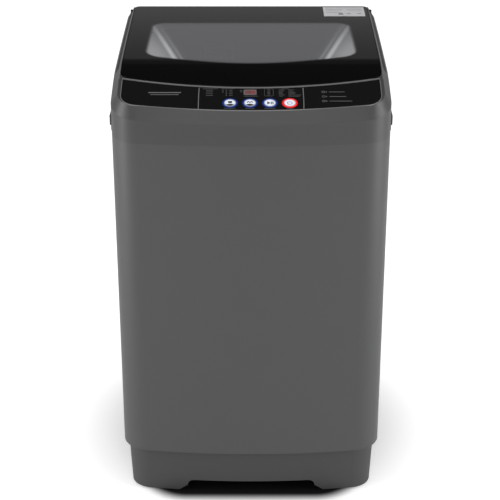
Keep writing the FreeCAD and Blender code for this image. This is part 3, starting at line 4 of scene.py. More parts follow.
import bmesh
import bpy
from bpy.props import FloatProperty, FloatVectorProperty, IntProperty, PointerProperty
from mathutils import Matrix, Vector
from mathutils.bvhtree import BVHTree


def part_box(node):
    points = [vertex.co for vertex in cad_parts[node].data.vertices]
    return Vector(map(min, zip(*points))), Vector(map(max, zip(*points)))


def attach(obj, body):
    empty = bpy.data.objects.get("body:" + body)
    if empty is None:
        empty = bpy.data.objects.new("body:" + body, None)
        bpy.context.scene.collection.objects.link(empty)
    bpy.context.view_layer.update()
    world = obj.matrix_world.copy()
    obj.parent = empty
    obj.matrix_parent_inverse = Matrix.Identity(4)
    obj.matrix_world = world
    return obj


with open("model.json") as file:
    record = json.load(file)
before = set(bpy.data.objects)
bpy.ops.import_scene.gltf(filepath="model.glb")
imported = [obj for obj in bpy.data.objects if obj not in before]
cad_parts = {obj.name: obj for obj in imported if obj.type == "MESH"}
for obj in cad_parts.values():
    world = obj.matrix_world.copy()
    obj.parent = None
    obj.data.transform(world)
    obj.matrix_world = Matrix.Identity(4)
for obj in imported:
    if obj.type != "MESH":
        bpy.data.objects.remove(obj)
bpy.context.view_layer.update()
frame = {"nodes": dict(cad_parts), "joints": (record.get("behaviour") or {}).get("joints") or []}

bl_info = {
    "name": "Top Load Washer Finish",
    "version": (1, 0, 0),
    "blender": (4, 5, 0),
    "location": "View3D > Sidebar > Washer",
    "description": "Finishes, trim and printing for a top load washing machine",
    "category": "Object",
}

MM = 0.001
NODES = frame["nodes"]
PRESS = next(j for j in frame["joints"] if j["name"] == "program_button_press")
PANEL_SLOPE = asin(PRESS["axis"][1])


# Settings

def length(name, description, default):
    return FloatProperty(name=name, description=description, default=default, min=0.0,
                         unit="LENGTH", subtype="DISTANCE", precision=5)


def colour(name, description, default):
    return FloatVectorProperty(name=name, description=description, default=default, size=3,
                               min=0.0, max=1.0, subtype="COLOR")


class WasherFinish(bpy.types.PropertyGroup):
    paint: colour("Cabinet paint", "Coat of the steel cabinet", (0.0625, 0.0625, 0.0630))
    frame_grey: colour("Top frame", "Moulded grey of the top frame and side grips",
                       (0.057, 0.057, 0.0575))
    base_grey: colour("Base", "Moulded grey of the base", (0.053, 0.053, 0.0535))
    panel_black: colour("Panel skin", "Black of the control panel", (0.0065, 0.0065, 0.0070))
    grip_black: colour("Lid grip", "Black of the lid's front grip", (0.0016, 0.0016, 0.0018))
    glass_border: colour("Glass border", "Enamel behind the lid glass", (0.0055, 0.0055, 0.0058))
    glass_window: colour("Glass window", "Smoke tint of the lid's window", (0.190, 0.192, 0.203))
    # Painted shade: a dim band along the back of the window.
    glass_rear_shade: colour("Glass ledge", "Dim edge at the back of the window", (0.045, 0.045, 0.047))
    # Painted highlight: the pale streaks in the window's front corners, standing for reflections
    # inside the drum.
    glass_painted_highlight: colour("Glass streak", "Brush lines in the window's corners", (0.80, 0.81, 0.82))
    # Painted highlight: this light grey also colours the strips around the panel and beside the lid,
    # which stand for the highlights on their edges.
    trim_grey_and_painted_highlight: colour("Trim", "Light bead around the panel", (0.26, 0.26, 0.265))
    ring_blue: colour("Blue ring", "Lit ring of the first three buttons", (0.004, 0.022, 0.16))
    ring_red: colour("Red ring", "Lit ring of the power button", (0.62, 0.010, 0.012))
    print_grey: colour("Panel print", "Ink of the panel's marks", (0.15, 0.15, 0.155))


class WasherDetail(bpy.types.PropertyGroup):
    rim_width: length("Panel rim", "Width of the bead beside the panel skin", 1.5*MM)
    rib_width: length("Rear rim", "Width of the bead between the panel and the lid", 3.3*MM)
    print_height: length("Print height", "How far the ink stands off its surface", 0.06*MM)
    rail_rib_pitch: length("Rail rib pitch", "Distance between the rails' fine ribs", 3.6*MM)
    rail_rib_width: length("Rail rib width", "Width of one fine rib", 1.1*MM)
    hole_radius: length("Drum hole", "Radius of a hole in the drum wall", 1.8*MM)
    hole_rows: IntProperty(name="Hole rows", description="Rows of holes up the drum wall",
                           default=22, min=1)
    hole_columns: IntProperty(name="Hole columns", description="Holes around the drum wall",
                              default=72, min=3)


class WasherStage(bpy.types.PropertyGroup):
    camera_back: length("Camera distance", "Camera's distance in front of the machine", 2.650)
    camera_height: length("Camera height", "Camera's height over the floor", 1.650)
    camera_dip: FloatProperty(name="Camera dip", description="How far the camera looks down",
                              default=radians(25), subtype="ANGLE")
    camera_lens: FloatProperty(name="Lens", description="Focal length in millimetres",
                               default=104.7, min=1.0)
    floor_width: length("Floor width", "Side of the square floor", 60.0)
    lamp_power: FloatProperty(name="Lamp power", description="Watts of a side panel lamp",
                              default=42.0, min=0.0)


# Shader node groups

def socket(tree, name, kind, default=None, out=False):
    made = tree.interface.new_socket(name=name, in_out="OUTPUT" if out else "INPUT",
                                     socket_type=f"NodeSocket{kind}")
    if default is not None:
        made.default_value = default
    return made


def shader_group(name, inputs, outputs):
    """A node group with named inputs and outputs, and its two end nodes."""
    tree = bpy.data.node_groups.new(name, "ShaderNodeTree")
    for label, kind, default in inputs:
        socket(tree, label, kind, default)
    for label, kind in outputs:
        socket(tree, label, kind, out=True)
    return tree, tree.nodes.new("NodeGroupInput"), tree.nodes.new("NodeGroupOutput")


def maths(tree, operation, first, second, clamp=False):
    """A Math node whose two inputs are sockets or numbers."""
    made = tree.nodes.new("ShaderNodeMath")
    made.operation = operation
    made.use_clamp = clamp
    for slot, value in zip(made.inputs, (first, second)):
        if isinstance(value, bpy.types.NodeSocket):
            tree.links.new(value, slot)
        else:
            slot.default_value = value
    return made.outputs[0]


def blend_colours(tree, factor, first, second):
    made = tree.nodes.new("ShaderNodeMix")
    made.data_type = "RGBA"
    for slot, value in ((made.inputs[0], factor), (made.inputs[6], first), (made.inputs[7], second)):
        if isinstance(value, bpy.types.NodeSocket):
            tree.links.new(value, slot)
        else:
            slot.default_value = value if slot is made.inputs[0] else (*value, 1.0)
    return made.outputs[2]


def grain_group():
    """Grain: broad drift and fine speckle in the colour, matching roughness and a fine bump."""
    tree, start, end = shader_group("Grain", [
        ("Color", "Color", (0.5, 0.5, 0.5, 1.0)), ("Shade", "Color", (0.4, 0.4, 0.4, 1.0)),
        ("Stretch", "Vector", (1.0, 1.0, 1.0)), ("Fine Scale", "Float", 900.0),
        ("Broad Scale", "Float", 6.0), ("Speckle", "Float", 0.2),
        ("Roughness", "Float", 0.4), ("Roughness Spread", "Float", 0.08),
        ("Depth", "Float", 0.05),
    ], [("Color", "Color"), ("Roughness", "Float"), ("Normal", "Vector")])
    place = tree.nodes.new("ShaderNodeTexCoord").outputs["Object"]
    mapping = tree.nodes.new("ShaderNodeMapping")
    tree.links.new(place, mapping.inputs["Vector"])
    tree.links.new(start.outputs["Stretch"], mapping.inputs["Scale"])
    noises = []
    for label, detail in (("Fine Scale", 3.0), ("Broad Scale", 5.0)):
        noise = tree.nodes.new("ShaderNodeTexNoise")
        noise.inputs["Detail"].default_value = detail
        tree.links.new(mapping.outputs[0], noise.inputs["Vector"])
        tree.links.new(start.outputs[label], noise.inputs["Scale"])
        noises.append(noise.outputs[0])
    fine, broad = noises
    speckle = maths(tree, "MULTIPLY", maths(tree, "SUBTRACT", fine, 0.5), start.outputs["Speckle"])
    factor = maths(tree, "ADD", broad, speckle, clamp=True)
    shade = blend_colours(tree, factor, start.outputs["Shade"], start.outputs["Color"])
    drift = maths(tree, "MULTIPLY", maths(tree, "SUBTRACT", broad, 0.5),
                  start.outputs["Roughness Spread"])
    bump = tree.nodes.new("ShaderNodeBump")
    bump.inputs["Distance"].default_value = 0.0003
    tree.links.new(start.outputs["Depth"], bump.inputs["Strength"])
    tree.links.new(fine, bump.inputs["Height"])
    tree.links.new(shade, end.inputs["Color"])
    tree.links.new(maths(tree, "ADD", start.outputs["Roughness"], drift, clamp=True),
                   end.inputs["Roughness"])
    tree.links.new(bump.outputs[0], end.inputs["Normal"])
    return tree


def dust_group():
    """Dust: a mask for the thin grey film that settles on faces that look upwards."""
    tree, start, end = shader_group("Dust", [("Amount", "Float", 0.1), ("Scale", "Float", 9.0)],
                                    [("Mask", "Float")])
    normal = tree.nodes.new("ShaderNodeNewGeometry").outputs["Normal"]
    split = tree.nodes.new("ShaderNodeSeparateXYZ")
    tree.links.new(normal, split.inputs[0])
    noise = tree.nodes.new("ShaderNodeTexNoise")
    noise.inputs["Detail"].default_value = 6.0
    tree.links.new(tree.nodes.new("ShaderNodeTexCoord").outputs["Object"], noise.inputs["Vector"])
    tree.links.new(start.outputs["Scale"], noise.inputs["Scale"])
    upward = maths(tree, "MULTIPLY", maths(tree, "MAXIMUM", split.outputs["Z"], 0.0),
                   noise.outputs[0])
    tree.links.new(maths(tree, "MULTIPLY", upward, start.outputs["Amount"], clamp=True),
                   end.inputs["Mask"])
    return tree


GROUPS = {}
MATERIALS = {}


def put_group(tree, name, **values):
    """Place a shared group in a material and set its named inputs."""
    made = tree.nodes.new("ShaderNodeGroup")
    made.node_tree = GROUPS[name]
    for label, value in values.items():
        made.inputs[label.replace("_", " ").title()].default_value = value
    return made


def finish_material(name, base, rough=0.45, spread=0.06, metallic=0.0, shade=0.85, fine=900.0,
                    broad=6.0, speckle=0.2, depth=0.05, stretch=(1.0, 1.0, 1.0), dust=0.0,
                    specular=0.5, coat=0.0, coat_rough=0.1, anisotropic=0.0):
    """A grained, slightly uneven finish. Returns the material, its shader and its colour."""
    base = tuple(base)
    material = bpy.data.materials.new(name)
    material.use_nodes = True
    tree = material.node_tree
    shader = tree.nodes["Principled BSDF"]
    grain = put_group(tree, "Grain", color=(*base, 1.0), shade=(*(c*shade for c in base), 1.0),
                      stretch=stretch, fine_scale=fine, broad_scale=broad, speckle=speckle,
                      roughness=rough, roughness_spread=spread, depth=depth)
    skin = grain.outputs["Color"]
    if dust:
        mask = put_group(tree, "Dust", amount=dust)
        skin = blend_colours(tree, mask.outputs["Mask"], skin, (0.30, 0.29, 0.28))
    tree.links.new(skin, shader.inputs["Base Color"])
    tree.links.new(grain.outputs["Roughness"], shader.inputs["Roughness"])
    tree.links.new(grain.outputs["Normal"], shader.inputs["Normal"])
    shader.inputs["Metallic"].default_value = metallic
    shader.inputs["Specular IOR Level"].default_value = specular
    shader.inputs["Coat Weight"].default_value = coat
    shader.inputs["Coat Roughness"].default_value = coat_rough
    shader.inputs["Anisotropic"].default_value = anisotropic
    MATERIALS[name] = material
    return material, shader, skin


def object_axes(tree):
    """The Object coordinate split into its three axes."""
    split = tree.nodes.new("ShaderNodeSeparateXYZ")
    tree.links.new(tree.nodes.new("ShaderNodeTexCoord").outputs["Object"], split.inputs[0])
    return split.outputs


def ramp_between(tree, value, low, high):
    """0 below low and 1 above high, smooth between them."""
    made = tree.nodes.new("ShaderNodeMapRange")
    made.interpolation_type = "SMOOTHSTEP"
    tree.links.new(value, made.inputs["Value"])
    made.inputs["From Min"].default_value = low
    made.inputs["From Max"].default_value = high
    return made.outputs[0]


def window_mask(tree, across, y):
    """1 inside the lid's window: a box with rounded corners, a bowed front and tapered sides."""
    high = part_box("lid_glass")[1].y
    rear, front, half, corner, soft = high - 87*MM, high - 340.5*MM, 196*MM, 26*MM, 5*MM
    taper = maths(tree, "MULTIPLY", maths(tree, "SUBTRACT", y, front), 0.020)
    side = maths(tree, "ADD", maths(tree, "SUBTRACT", across, half - corner), taper)
    bow = maths(tree, "MULTIPLY", maths(tree, "POWER", across, 2.0), 1.0)
    fore = maths(tree, "SUBTRACT", maths(tree, "ADD", bow, front + corner), y)
    deep = maths(tree, "MAXIMUM", maths(tree, "SUBTRACT", y, rear - corner), fore)
    outward = [maths(tree, "POWER", maths(tree, "MAXIMUM", part, 0.0), 2.0)
               for part in (side, deep)]
    round_off = maths(tree, "POWER", maths(tree, "ADD", *outward), 0.5)
    within = maths(tree, "MINIMUM", maths(tree, "MAXIMUM", side, deep), 0.0)
    edge = maths(tree, "SUBTRACT", corner, maths(tree, "ADD", round_off, within))
    return ramp_between(tree, edge, -soft, soft)


def painted_highlight_mask(tree, across, y):
    """Painted highlights: two pale streaks in each front corner of the window, standing for
    reflections.
    """
    total = 0.0
    for start, width, strength in ((151*MM, 8*MM, 0.72), (188*MM, 64*MM, 0.55), (138*MM, 6*MM, 0.16)):
        middle_line = maths(tree, "ADD", maths(tree, "MULTIPLY", y, 0.27), start + 13*MM)
        away = maths(tree, "ABSOLUTE", maths(tree, "SUBTRACT", across, middle_line), 0.0)
        line = maths(tree, "SUBTRACT", 1.0, ramp_between(tree, away, 0.0, width))
        total = maths(tree, "ADD", maths(tree, "MULTIPLY", line, strength), total, clamp=True)
    fade = maths(tree, "SUBTRACT", 1.0, ramp_between(tree, y, -70*MM, 190*MM))
    return maths(tree, "MULTIPLY", total, fade)


def rear_shade_mask(tree, across, y):
    """1 on a dim band along the window's rear edge, a painted shade."""
    return maths(tree, "SUBTRACT", 1.0, window_mask(tree, across, maths(tree, "ADD", y, 30*MM)))


def cap_material(finish, name, edge):
    """A lit button cap: white in the middle, glowing in its ring's colour at the edge."""
    material, shader, skin = finish_material(f"{name}_cap", (0.80, 0.84, 0.92), rough=0.25,
                                             shade=0.93, depth=0.01)
    tree = material.node_tree
    centre = middle(f"{name}_button")
    apart, square, far = (tree.nodes.new("ShaderNodeVectorMath") for _ in range(3))
    for node, operation in ((apart, "SUBTRACT"), (square, "CROSS_PRODUCT"), (far, "LENGTH")):
        node.operation = operation
    apart.inputs[1].default_value = centre
    square.inputs[1].default_value = PRESS["axis"]
    link_up(tree, (tree.nodes.new("ShaderNodeTexCoord").outputs["Object"], apart.inputs[0]),
            (apart.outputs["Vector"], square.inputs[0]), (square.outputs["Vector"], far.inputs[0]))
    ring = ramp_between(tree, far.outputs["Value"], 7.6*MM, 11.6*MM)
    lit = blend_colours(tree, ring, skin, edge)
    tree.links.new(lit, shader.inputs["Base Color"])
    tree.links.new(lit, shader.inputs["Emission Color"])
    shader.inputs["Emission Strength"].default_value = 0.18
    NODES[f"{name}_button"].data.materials.clear()
    NODES[f"{name}_button"].data.materials.append(material)


def glass_material(finish):
    """Smoked lid glass: black enamel around a clearer window that lets the drum show."""
    material, shader, skin = finish_material("smoked_glass", finish.glass_border, rough=0.10,
                                             spread=0.04, fine=60.0, speckle=0.05, depth=0.004)
    tree = material.node_tree
    x, y, _ = object_axes(tree)
    across = maths(tree, "ABSOLUTE", x, 0.0)
    mask = window_mask(tree, across, y)
    # Painted highlight: pale streaks mixed into the window's colour.
    glow = blend_colours(tree, painted_highlight_mask(tree, across, y), finish.glass_window, finish.glass_painted_highlight)
    # Painted shade: the window's rear edge is mixed towards a dim grey.
    glow = blend_colours(tree, rear_shade_mask(tree, across, y), glow, finish.glass_rear_shade)
    tree.links.new(blend_colours(tree, mask, skin, glow), shader.inputs["Base Color"])
    tree.links.new(maths(tree, "SUBTRACT", 1.0, maths(tree, "MULTIPLY", mask, 0.35)),
                   shader.inputs["Alpha"])
    return material


def make_materials(finish):
    """Every finish of the machine, by a plain name."""
    GROUPS.update({"Grain": grain_group(), "Dust": dust_group()})
    finish_material("cabinet_paint", finish.paint, rough=0.42, spread=0.05, shade=0.94, fine=2600,
                    broad=3.0, speckle=0.35, depth=0.03, dust=0.03, coat=0.15, coat_rough=0.3)
    finish_material("frame_plastic", finish.frame_grey, rough=0.40, shade=0.93, fine=1700,
                    depth=0.06, dust=0.05)
    finish_material("base_plastic", finish.base_grey, rough=0.50, shade=0.92, fine=1500,
                    depth=0.10, dust=0.05)
    finish_material("panel_black", finish.panel_black, rough=0.22, fine=500, depth=0.01)
    finish_material("grip_black", finish.grip_black, rough=0.12, fine=300, depth=0.006)
    finish_material("trim_grey_and_painted_highlight", finish.trim_grey_and_painted_highlight, rough=0.30, shade=0.9, metallic=0.3, depth=0.02)
    finish_material("panel_print", finish.print_grey, rough=0.6, depth=0.05)
    finish_material("black_plastic", (0.012, 0.012, 0.013), rough=0.45, fine=1200, depth=0.12)
    finish_material("black_rubber", (0.016, 0.016, 0.016), rough=0.78, fine=700, depth=0.3,
                    speckle=0.5, dust=0.1)
    finish_material("white_plastic", (0.62, 0.62, 0.60), rough=0.42, shade=0.94, depth=0.05)
    finish_material("pale_plastic", (0.42, 0.43, 0.45), rough=0.40, shade=0.93, depth=0.05)
    finish_material("zinc_sheet", (0.55, 0.56, 0.57), rough=0.36, spread=0.25, metallic=1.0,
                    shade=0.78, fine=320, broad=42.0, speckle=0.6, depth=0.05)
    finish_material("cast_aluminium", (0.60, 0.60, 0.61), rough=0.5, metallic=0.9, shade=0.8,
                    fine=700, depth=0.25)
    finish_material("drum_steel", (0.66, 0.665, 0.67), rough=0.26, metallic=1.0, shade=0.88,
                    fine=420, speckle=0.7, depth=0.05, stretch=(1.0, 1.0, 0.06), anisotropic=0.4)
    finish_material("paper_label", (0.66, 0.66, 0.68), rough=0.5, shade=0.9, fine=2000,
                    broad=20.0, depth=0.05)
    finish_material("label_ink", (0.12, 0.12, 0.13), rough=0.6)
    finish_material("green_board", (0.02, 0.15, 0.06), rough=0.3, shade=0.6, fine=160, broad=60)
    finish_material("button_cap", (0.80, 0.84, 0.92), rough=0.25, shade=0.93, depth=0.01)
    finish_material("button_ink", (0.012, 0.012, 0.02), rough=0.5)
    finish_material("power_ink", (0.30, 0.05, 0.05), rough=0.5)
    finish_material("display_lens", (0.115, 0.085, 0.090), rough=0.16, shade=0.9, depth=0.005)
    # Painted shade: the dark of the grooves between the rails' ribs.
    finish_material("groove_painted_shade", (0.030, 0.030, 0.031), rough=0.5)
    finish_material("display_edge", (0.26, 0.22, 0.225), rough=0.4, depth=0.01)
    # Painted shade: the near black of the drum's holes, put on discs.
    finish_material("hole_painted_shade", (0.006, 0.006, 0.007), rough=0.7)
    glass_material(finish)
    ring, shader, skin = finish_material("lit_rings", finish.ring_blue, rough=0.2, shade=0.8,
                                         depth=0.01)
    tree = ring.node_tree
    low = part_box("power_button")[0]
    red = ramp_between(tree, object_axes(tree)["X"], low.x - 7*MM, low.x - 5*MM)
    lit = blend_colours(tree, red, skin, finish.ring_red)
    tree.links.new(lit, shader.inputs["Base Color"])
    tree.links.new(lit, shader.inputs["Emission Color"])
    shader.inputs["Emission Strength"].default_value = 0.55
    digits, shader, skin = finish_material("digit_red", (0.42, 0.030, 0.028), rough=0.4)
    digits.node_tree.links.new(skin, shader.inputs["Emission Color"])
    shader.inputs["Emission Strength"].default_value = 0.25


NODE_FINISH = {
    "cabinet_paint": ["cabinet_wrap"],
    "frame_plastic": ["top_frame", "side_handles"],
    "base_plastic": ["base_frame"],
    "panel_black": ["control_fascia"],
    "grip_black": ["lid_grip"],
    "trim_grey_and_painted_highlight": ["program_trim"],
    "lit_rings": ["button_rings"],
    "button_cap": ["program_button", "level_button", "start_button", "power_button"],
    "display_lens": ["display_window"],
    "green_board": ["control_board"],
    "smoked_glass": ["lid_glass"],
    "paper_label": ["blank_label"],
    "black_plastic": ["bottom_guard", "control_tray", "lid_frame", "hinge_bushes",
                      "traction_actuator", "drain_outlet", "cord_gland"],
    "black_rubber": ["rubber_feet", "leveling_foot", "lid_bumpers", "water_seal", "drive_belt",
                     "drain_hose", "pressure_tube"],
    "white_plastic": ["lid_switch", "outer_tub", "tub_cover", "drain_valve", "drain_plunger",
                      "lint_filters", "inlet_valve", "inlet_spout", "level_sensor", "capacitor"],
    "pale_plastic": ["drum_floor_moulding", "balance_ring", "pulsator"],
    "cast_aluminium": ["clutch_housing", "drive_pulley"],
    "drum_steel": ["drum_shell", "pulsator_cap"],
    "zinc_sheet": ["rear_panel", "rear_panel_screws", "hinge_pins", "corner_brackets",
                   "suspension_rods", "suspension_springs", "suspension_plate", "shaft_bearings",
                   "motor_housing", "motor_rotor", "clutch_lever", "spin_tube", "wash_shaft"],
}


# Mesh helpers

def empty_piece(name):
    obj = bpy.data.objects.new(name, bpy.data.meshes.new(name))
    bpy.context.scene.collection.objects.link(obj)
    return obj


def piece_from(bm, name, body, material):
    """Turn mesh code into a piece that rides on a body and wears one finish."""
    obj = empty_piece(name)
    bmesh.ops.recalc_face_normals(bm, faces=bm.faces)
    bm.to_mesh(obj.data)
    bm.free()
    return settle(obj, body, material)


def settle(obj, body, material):
    if not obj.data.polygons:
        raise RuntimeError(f"{obj.name} has no faces")
    obj.data.materials.clear()
    obj.data.materials.append(MATERIALS[material])
    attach(obj, body)
    return obj


def add_prism(bm, outline, low, high, place):
    """A plate between two heights whose outline runs anticlockwise."""
    under = [bm.verts.new(place(x, y, low)) for x, y in outline]
    over = [bm.verts.new(place(x, y, high)) for x, y in outline]
    bm.faces.new(over)
    bm.faces.new(under[::-1])
    for i, vert in enumerate(under):
        j = (i + 1) % len(under)
        bm.faces.new((vert, under[j], over[j], over[i]))


def add_band(bm, inner, outer, low, high, place, closed=True):
    """A raised band between two outlines with as many points."""
    rows = [[bm.verts.new(place(x, y, z)) for x, y in line]
            for line, z in ((inner, low), (outer, low), (outer, high), (inner, high))]
    count = len(inner)
    for i in range(count if closed else count - 1):
        j = (i + 1) % count
        for a, b in zip(rows, rows[1:] + rows[:1]):
            bm.faces.new((a[i], a[j], b[j], b[i]))
    if not closed:
        bm.faces.new([row[0] for row in rows])
        bm.faces.new([row[-1] for row in rows][::-1])


def arc(x, y, radius, start=0.0, stop=360.0, steps=32):
    """Points along an arc, without its last one when it is a full turn."""
    full = abs(stop - start) >= 360.0
    angles = [radians(start + (stop - start)*i/steps) for i in range(steps if full else steps + 1)]
    return [(x + radius*cos(a), y + radius*sin(a)) for a in angles]


def rounded(x, y, width, height, radius, steps=4):
    """A rectangle about a centre with rounded corners."""
    corners = ((1, 1, 0), (-1, 1, 90), (-1, -1, 180), (1, -1, 270))
    return [point for sx, sy, turn in corners
            for point in arc(x + sx*(width/2 - radius), y + sy*(height/2 - radius), radius,
                             turn, turn + 90, steps)]


def bar(x, y, width, height):
    return [(x - width/2, y - height/2), (x + width/2, y - height/2),
            (x + width/2, y + height/2), (x - width/2, y + height/2)]


def middle(node):
    low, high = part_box(node)
    return (low + high)/2


def surface_of(*nodes):
    """A ray target made of CAD nodes, as they are."""
    points, faces = [], []
    for name in nodes:
        mesh = NODES[name].data
        start = len(points)
        points += [v.co.copy() for v in mesh.vertices]
        faces += [[start + i for i in p.vertices] for p in mesh.polygons]
    return BVHTree.FromPolygons(points, faces)


def over(node, centre):
    """A place function that drops points onto a node, square to the control panel."""
    target = surface_of(node)
    inward = Vector(PRESS["axis"])

    def place(x, up, out):
        spot = centre + Vector((x, up*cos(PANEL_SLOPE), up*sin(PANEL_SLOPE)))
        hit = target.ray_cast(spot - inward*0.05, inward)[0]
        if hit is None:
            raise RuntimeError(f"a mark at {x:.4f}, {up:.4f} misses {node}")
        return hit - inward*out
    return place


def skin_place():
    """Places over the panel skin: across, up its slope from the buttons' row, and out."""
    centre = (middle("program_button") + middle("power_button"))/2
    clear = Vector((0.120, 0.0, 0.0))
    start = over("control_fascia", centre + clear)(0.0, 0.0, 0.0) - clear
    row = start.y - centre.y

    def place(x, up, out):
        return Vector((x, start.y - row + up*cos(PANEL_SLOPE) - out*sin(PANEL_SLOPE),
                       start.z - row*tan(PANEL_SLOPE) + up*sin(PANEL_SLOPE)
                       + out*cos(PANEL_SLOPE)))
    return place


def top_loops(node, normal, closeness=0.995):
    """The ordered edge loops around a CAD node's faces that look one way."""
    bm = bmesh.new()
    bm.from_mesh(NODES[node].data)
    bmesh.ops.remove_doubles(bm, verts=bm.verts, dist=0.01*MM)
    bm.normal_update()
    top = {f for f in bm.faces if f.normal.dot(normal) > closeness}
    edges = [e for e in bm.edges if len([f for f in e.link_faces if f in top]) == 1]
    ways = {}
    for edge in edges:
        a, b = (v.index for v in edge.verts)
        ways.setdefault(a, []).append(b)
        ways.setdefault(b, []).append(a)
    spots = {v.index: v.co.copy() for v in bm.verts}
    bm.free()
    loops, seen = [], set()
    for first in ways:
        if first in seen:
            continue
        loop, last, here = [first], None, first
        seen.add(first)
        while True:
            after = next((n for n in ways[here] if n != last and n not in seen), None)
            if after is None:
                break
            last, here = here, after
            seen.add(here)
            loop.append(here)
        loops.append([spots[i] for i in loop])
    return loops


# Geometry Nodes

def nodes_tree(name, inputs):
    """A Geometry Nodes tree with named inputs, and its two end nodes."""
    tree = bpy.data.node_groups.new(name, "GeometryNodeTree")
    for label, kind, default in inputs:
        socket(tree, label, kind, default)
    socket(tree, "Geometry", "Geometry", out=True)
    return tree, tree.nodes.new("NodeGroupInput"), tree.nodes.new("NodeGroupOutput")


def link_up(tree, *pairs):
    for source, target in pairs:
        tree.links.new(source, target)


def close_tree(tree, start, end, geometry):
    """End a tree in Realize Instances and Set Material."""
    realize = tree.nodes.new("GeometryNodeRealizeInstances")
    paint = tree.nodes.new("GeometryNodeSetMaterial")
    link_up(tree, (geometry, realize.inputs[0]), (realize.outputs[0], paint.inputs["Geometry"]),
            (start.outputs["Finish"], paint.inputs["Material"]),
            (paint.outputs[0], end.inputs["Geometry"]))
    return tree


def grown(obj, tree, body, slot, material, **values):
    """Run a tree on an object with its inputs set, and keep the result as a plain mesh."""
    modifier = obj.modifiers.new(tree.name, "NODES")
    modifier.node_group = tree
    names = {item.name: item.identifier for item in tree.interface.items_tree
             if item.in_out == "INPUT"}
    modifier[names["Finish"]] = MATERIALS[material]
    for label, value in values.items():
        modifier[names[label.replace("_", " ").title()]] = value
    depsgraph = bpy.context.evaluated_depsgraph_get()
    mesh = bpy.data.meshes.new_from_object(obj.evaluated_get(depsgraph))
    obj.modifiers.clear()
    obj.data = mesh
    return settle(obj, body, material)


def marks_tree():
    """Rows of short bars of uneven length, as small print looks from a step away."""
    tree, start, end = nodes_tree("Print Rows", [
        ("Rows", "Int", 4), ("Row Pitch", "Float", 0.005), ("Bar Width", "Float", 0.01),
        ("Bar Height", "Float", 0.001), ("Thickness", "Float", 0.0001),
        ("Shortest", "Float", 0.6), ("Seed", "Int", 1), ("Finish", "Material", None)])
    step = tree.nodes.new("ShaderNodeCombineXYZ")
    down = maths(tree, "MULTIPLY", start.outputs["Row Pitch"], -1.0)
    rows = tree.nodes.new("GeometryNodeMeshLine")
    cube = tree.nodes.new("GeometryNodeMeshCube")
    sides = tree.nodes.new("ShaderNodeCombineXYZ")
    aside = tree.nodes.new("GeometryNodeTransform")
    shift = tree.nodes.new("ShaderNodeCombineXYZ")
    copies = tree.nodes.new("GeometryNodeInstanceOnPoints")
    spread = tree.nodes.new("FunctionNodeRandomValue")
    scale = tree.nodes.new("ShaderNodeCombineXYZ")
    scale.inputs["Y"].default_value = scale.inputs["Z"].default_value = 1.0
    half = maths(tree, "MULTIPLY", start.outputs["Bar Width"], 0.5)
    rise = maths(tree, "MULTIPLY", start.outputs["Thickness"], 0.5)
    float_min = next(i for i in spread.inputs if i.name == "Min" and i.type == "VALUE")
    float_out = next(o for o in spread.outputs if o.type == "VALUE")
    link_up(tree, (down, step.inputs["Y"]), (start.outputs["Rows"], rows.inputs["Count"]),
            (step.outputs[0], rows.inputs["Offset"]),
            (start.outputs["Bar Width"], sides.inputs["X"]),
            (start.outputs["Bar Height"], sides.inputs["Y"]),
            (start.outputs["Thickness"], sides.inputs["Z"]),
            (sides.outputs[0], cube.inputs["Size"]), (cube.outputs[0], aside.inputs[0]),
            (half, shift.inputs["X"]), (rise, shift.inputs["Z"]),
            (shift.outputs[0], aside.inputs["Translation"]),
            (rows.outputs[0], copies.inputs["Points"]), (aside.outputs[0], copies.inputs["Instance"]),
            (start.outputs["Shortest"], float_min), (start.outputs["Seed"], spread.inputs["Seed"]),
            (float_out, scale.inputs["X"]), (scale.outputs[0], copies.inputs["Scale"]))
    return close_tree(tree, start, end, copies.outputs[0])


def ribs_tree():
    """Equal bars set across a path at an even pitch."""
    tree, start, end = nodes_tree("Path Ribs", [
        ("Geometry", "Geometry", None), ("Pitch", "Float", 0.004), ("Bar Size", "Vector", None),
        ("Bar Turn", "Vector", None), ("Finish", "Material", None)])
    curve = tree.nodes.new("GeometryNodeMeshToCurve")
    even = tree.nodes.new("GeometryNodeResampleCurve")
    even.mode = "LENGTH"
    cube = tree.nodes.new("GeometryNodeMeshCube")
    copies = tree.nodes.new("GeometryNodeInstanceOnPoints")
    link_up(tree, (start.outputs["Geometry"], curve.inputs[0]), (curve.outputs[0], even.inputs[0]),
            (start.outputs["Pitch"], even.inputs["Length"]),
            (start.outputs["Bar Size"], cube.inputs["Size"]),
            (even.outputs[0], copies.inputs["Points"]), (cube.outputs[0], copies.inputs["Instance"]),
            (start.outputs["Bar Turn"], copies.inputs["Rotation"]))
    return close_tree(tree, start, end, copies.outputs[0])


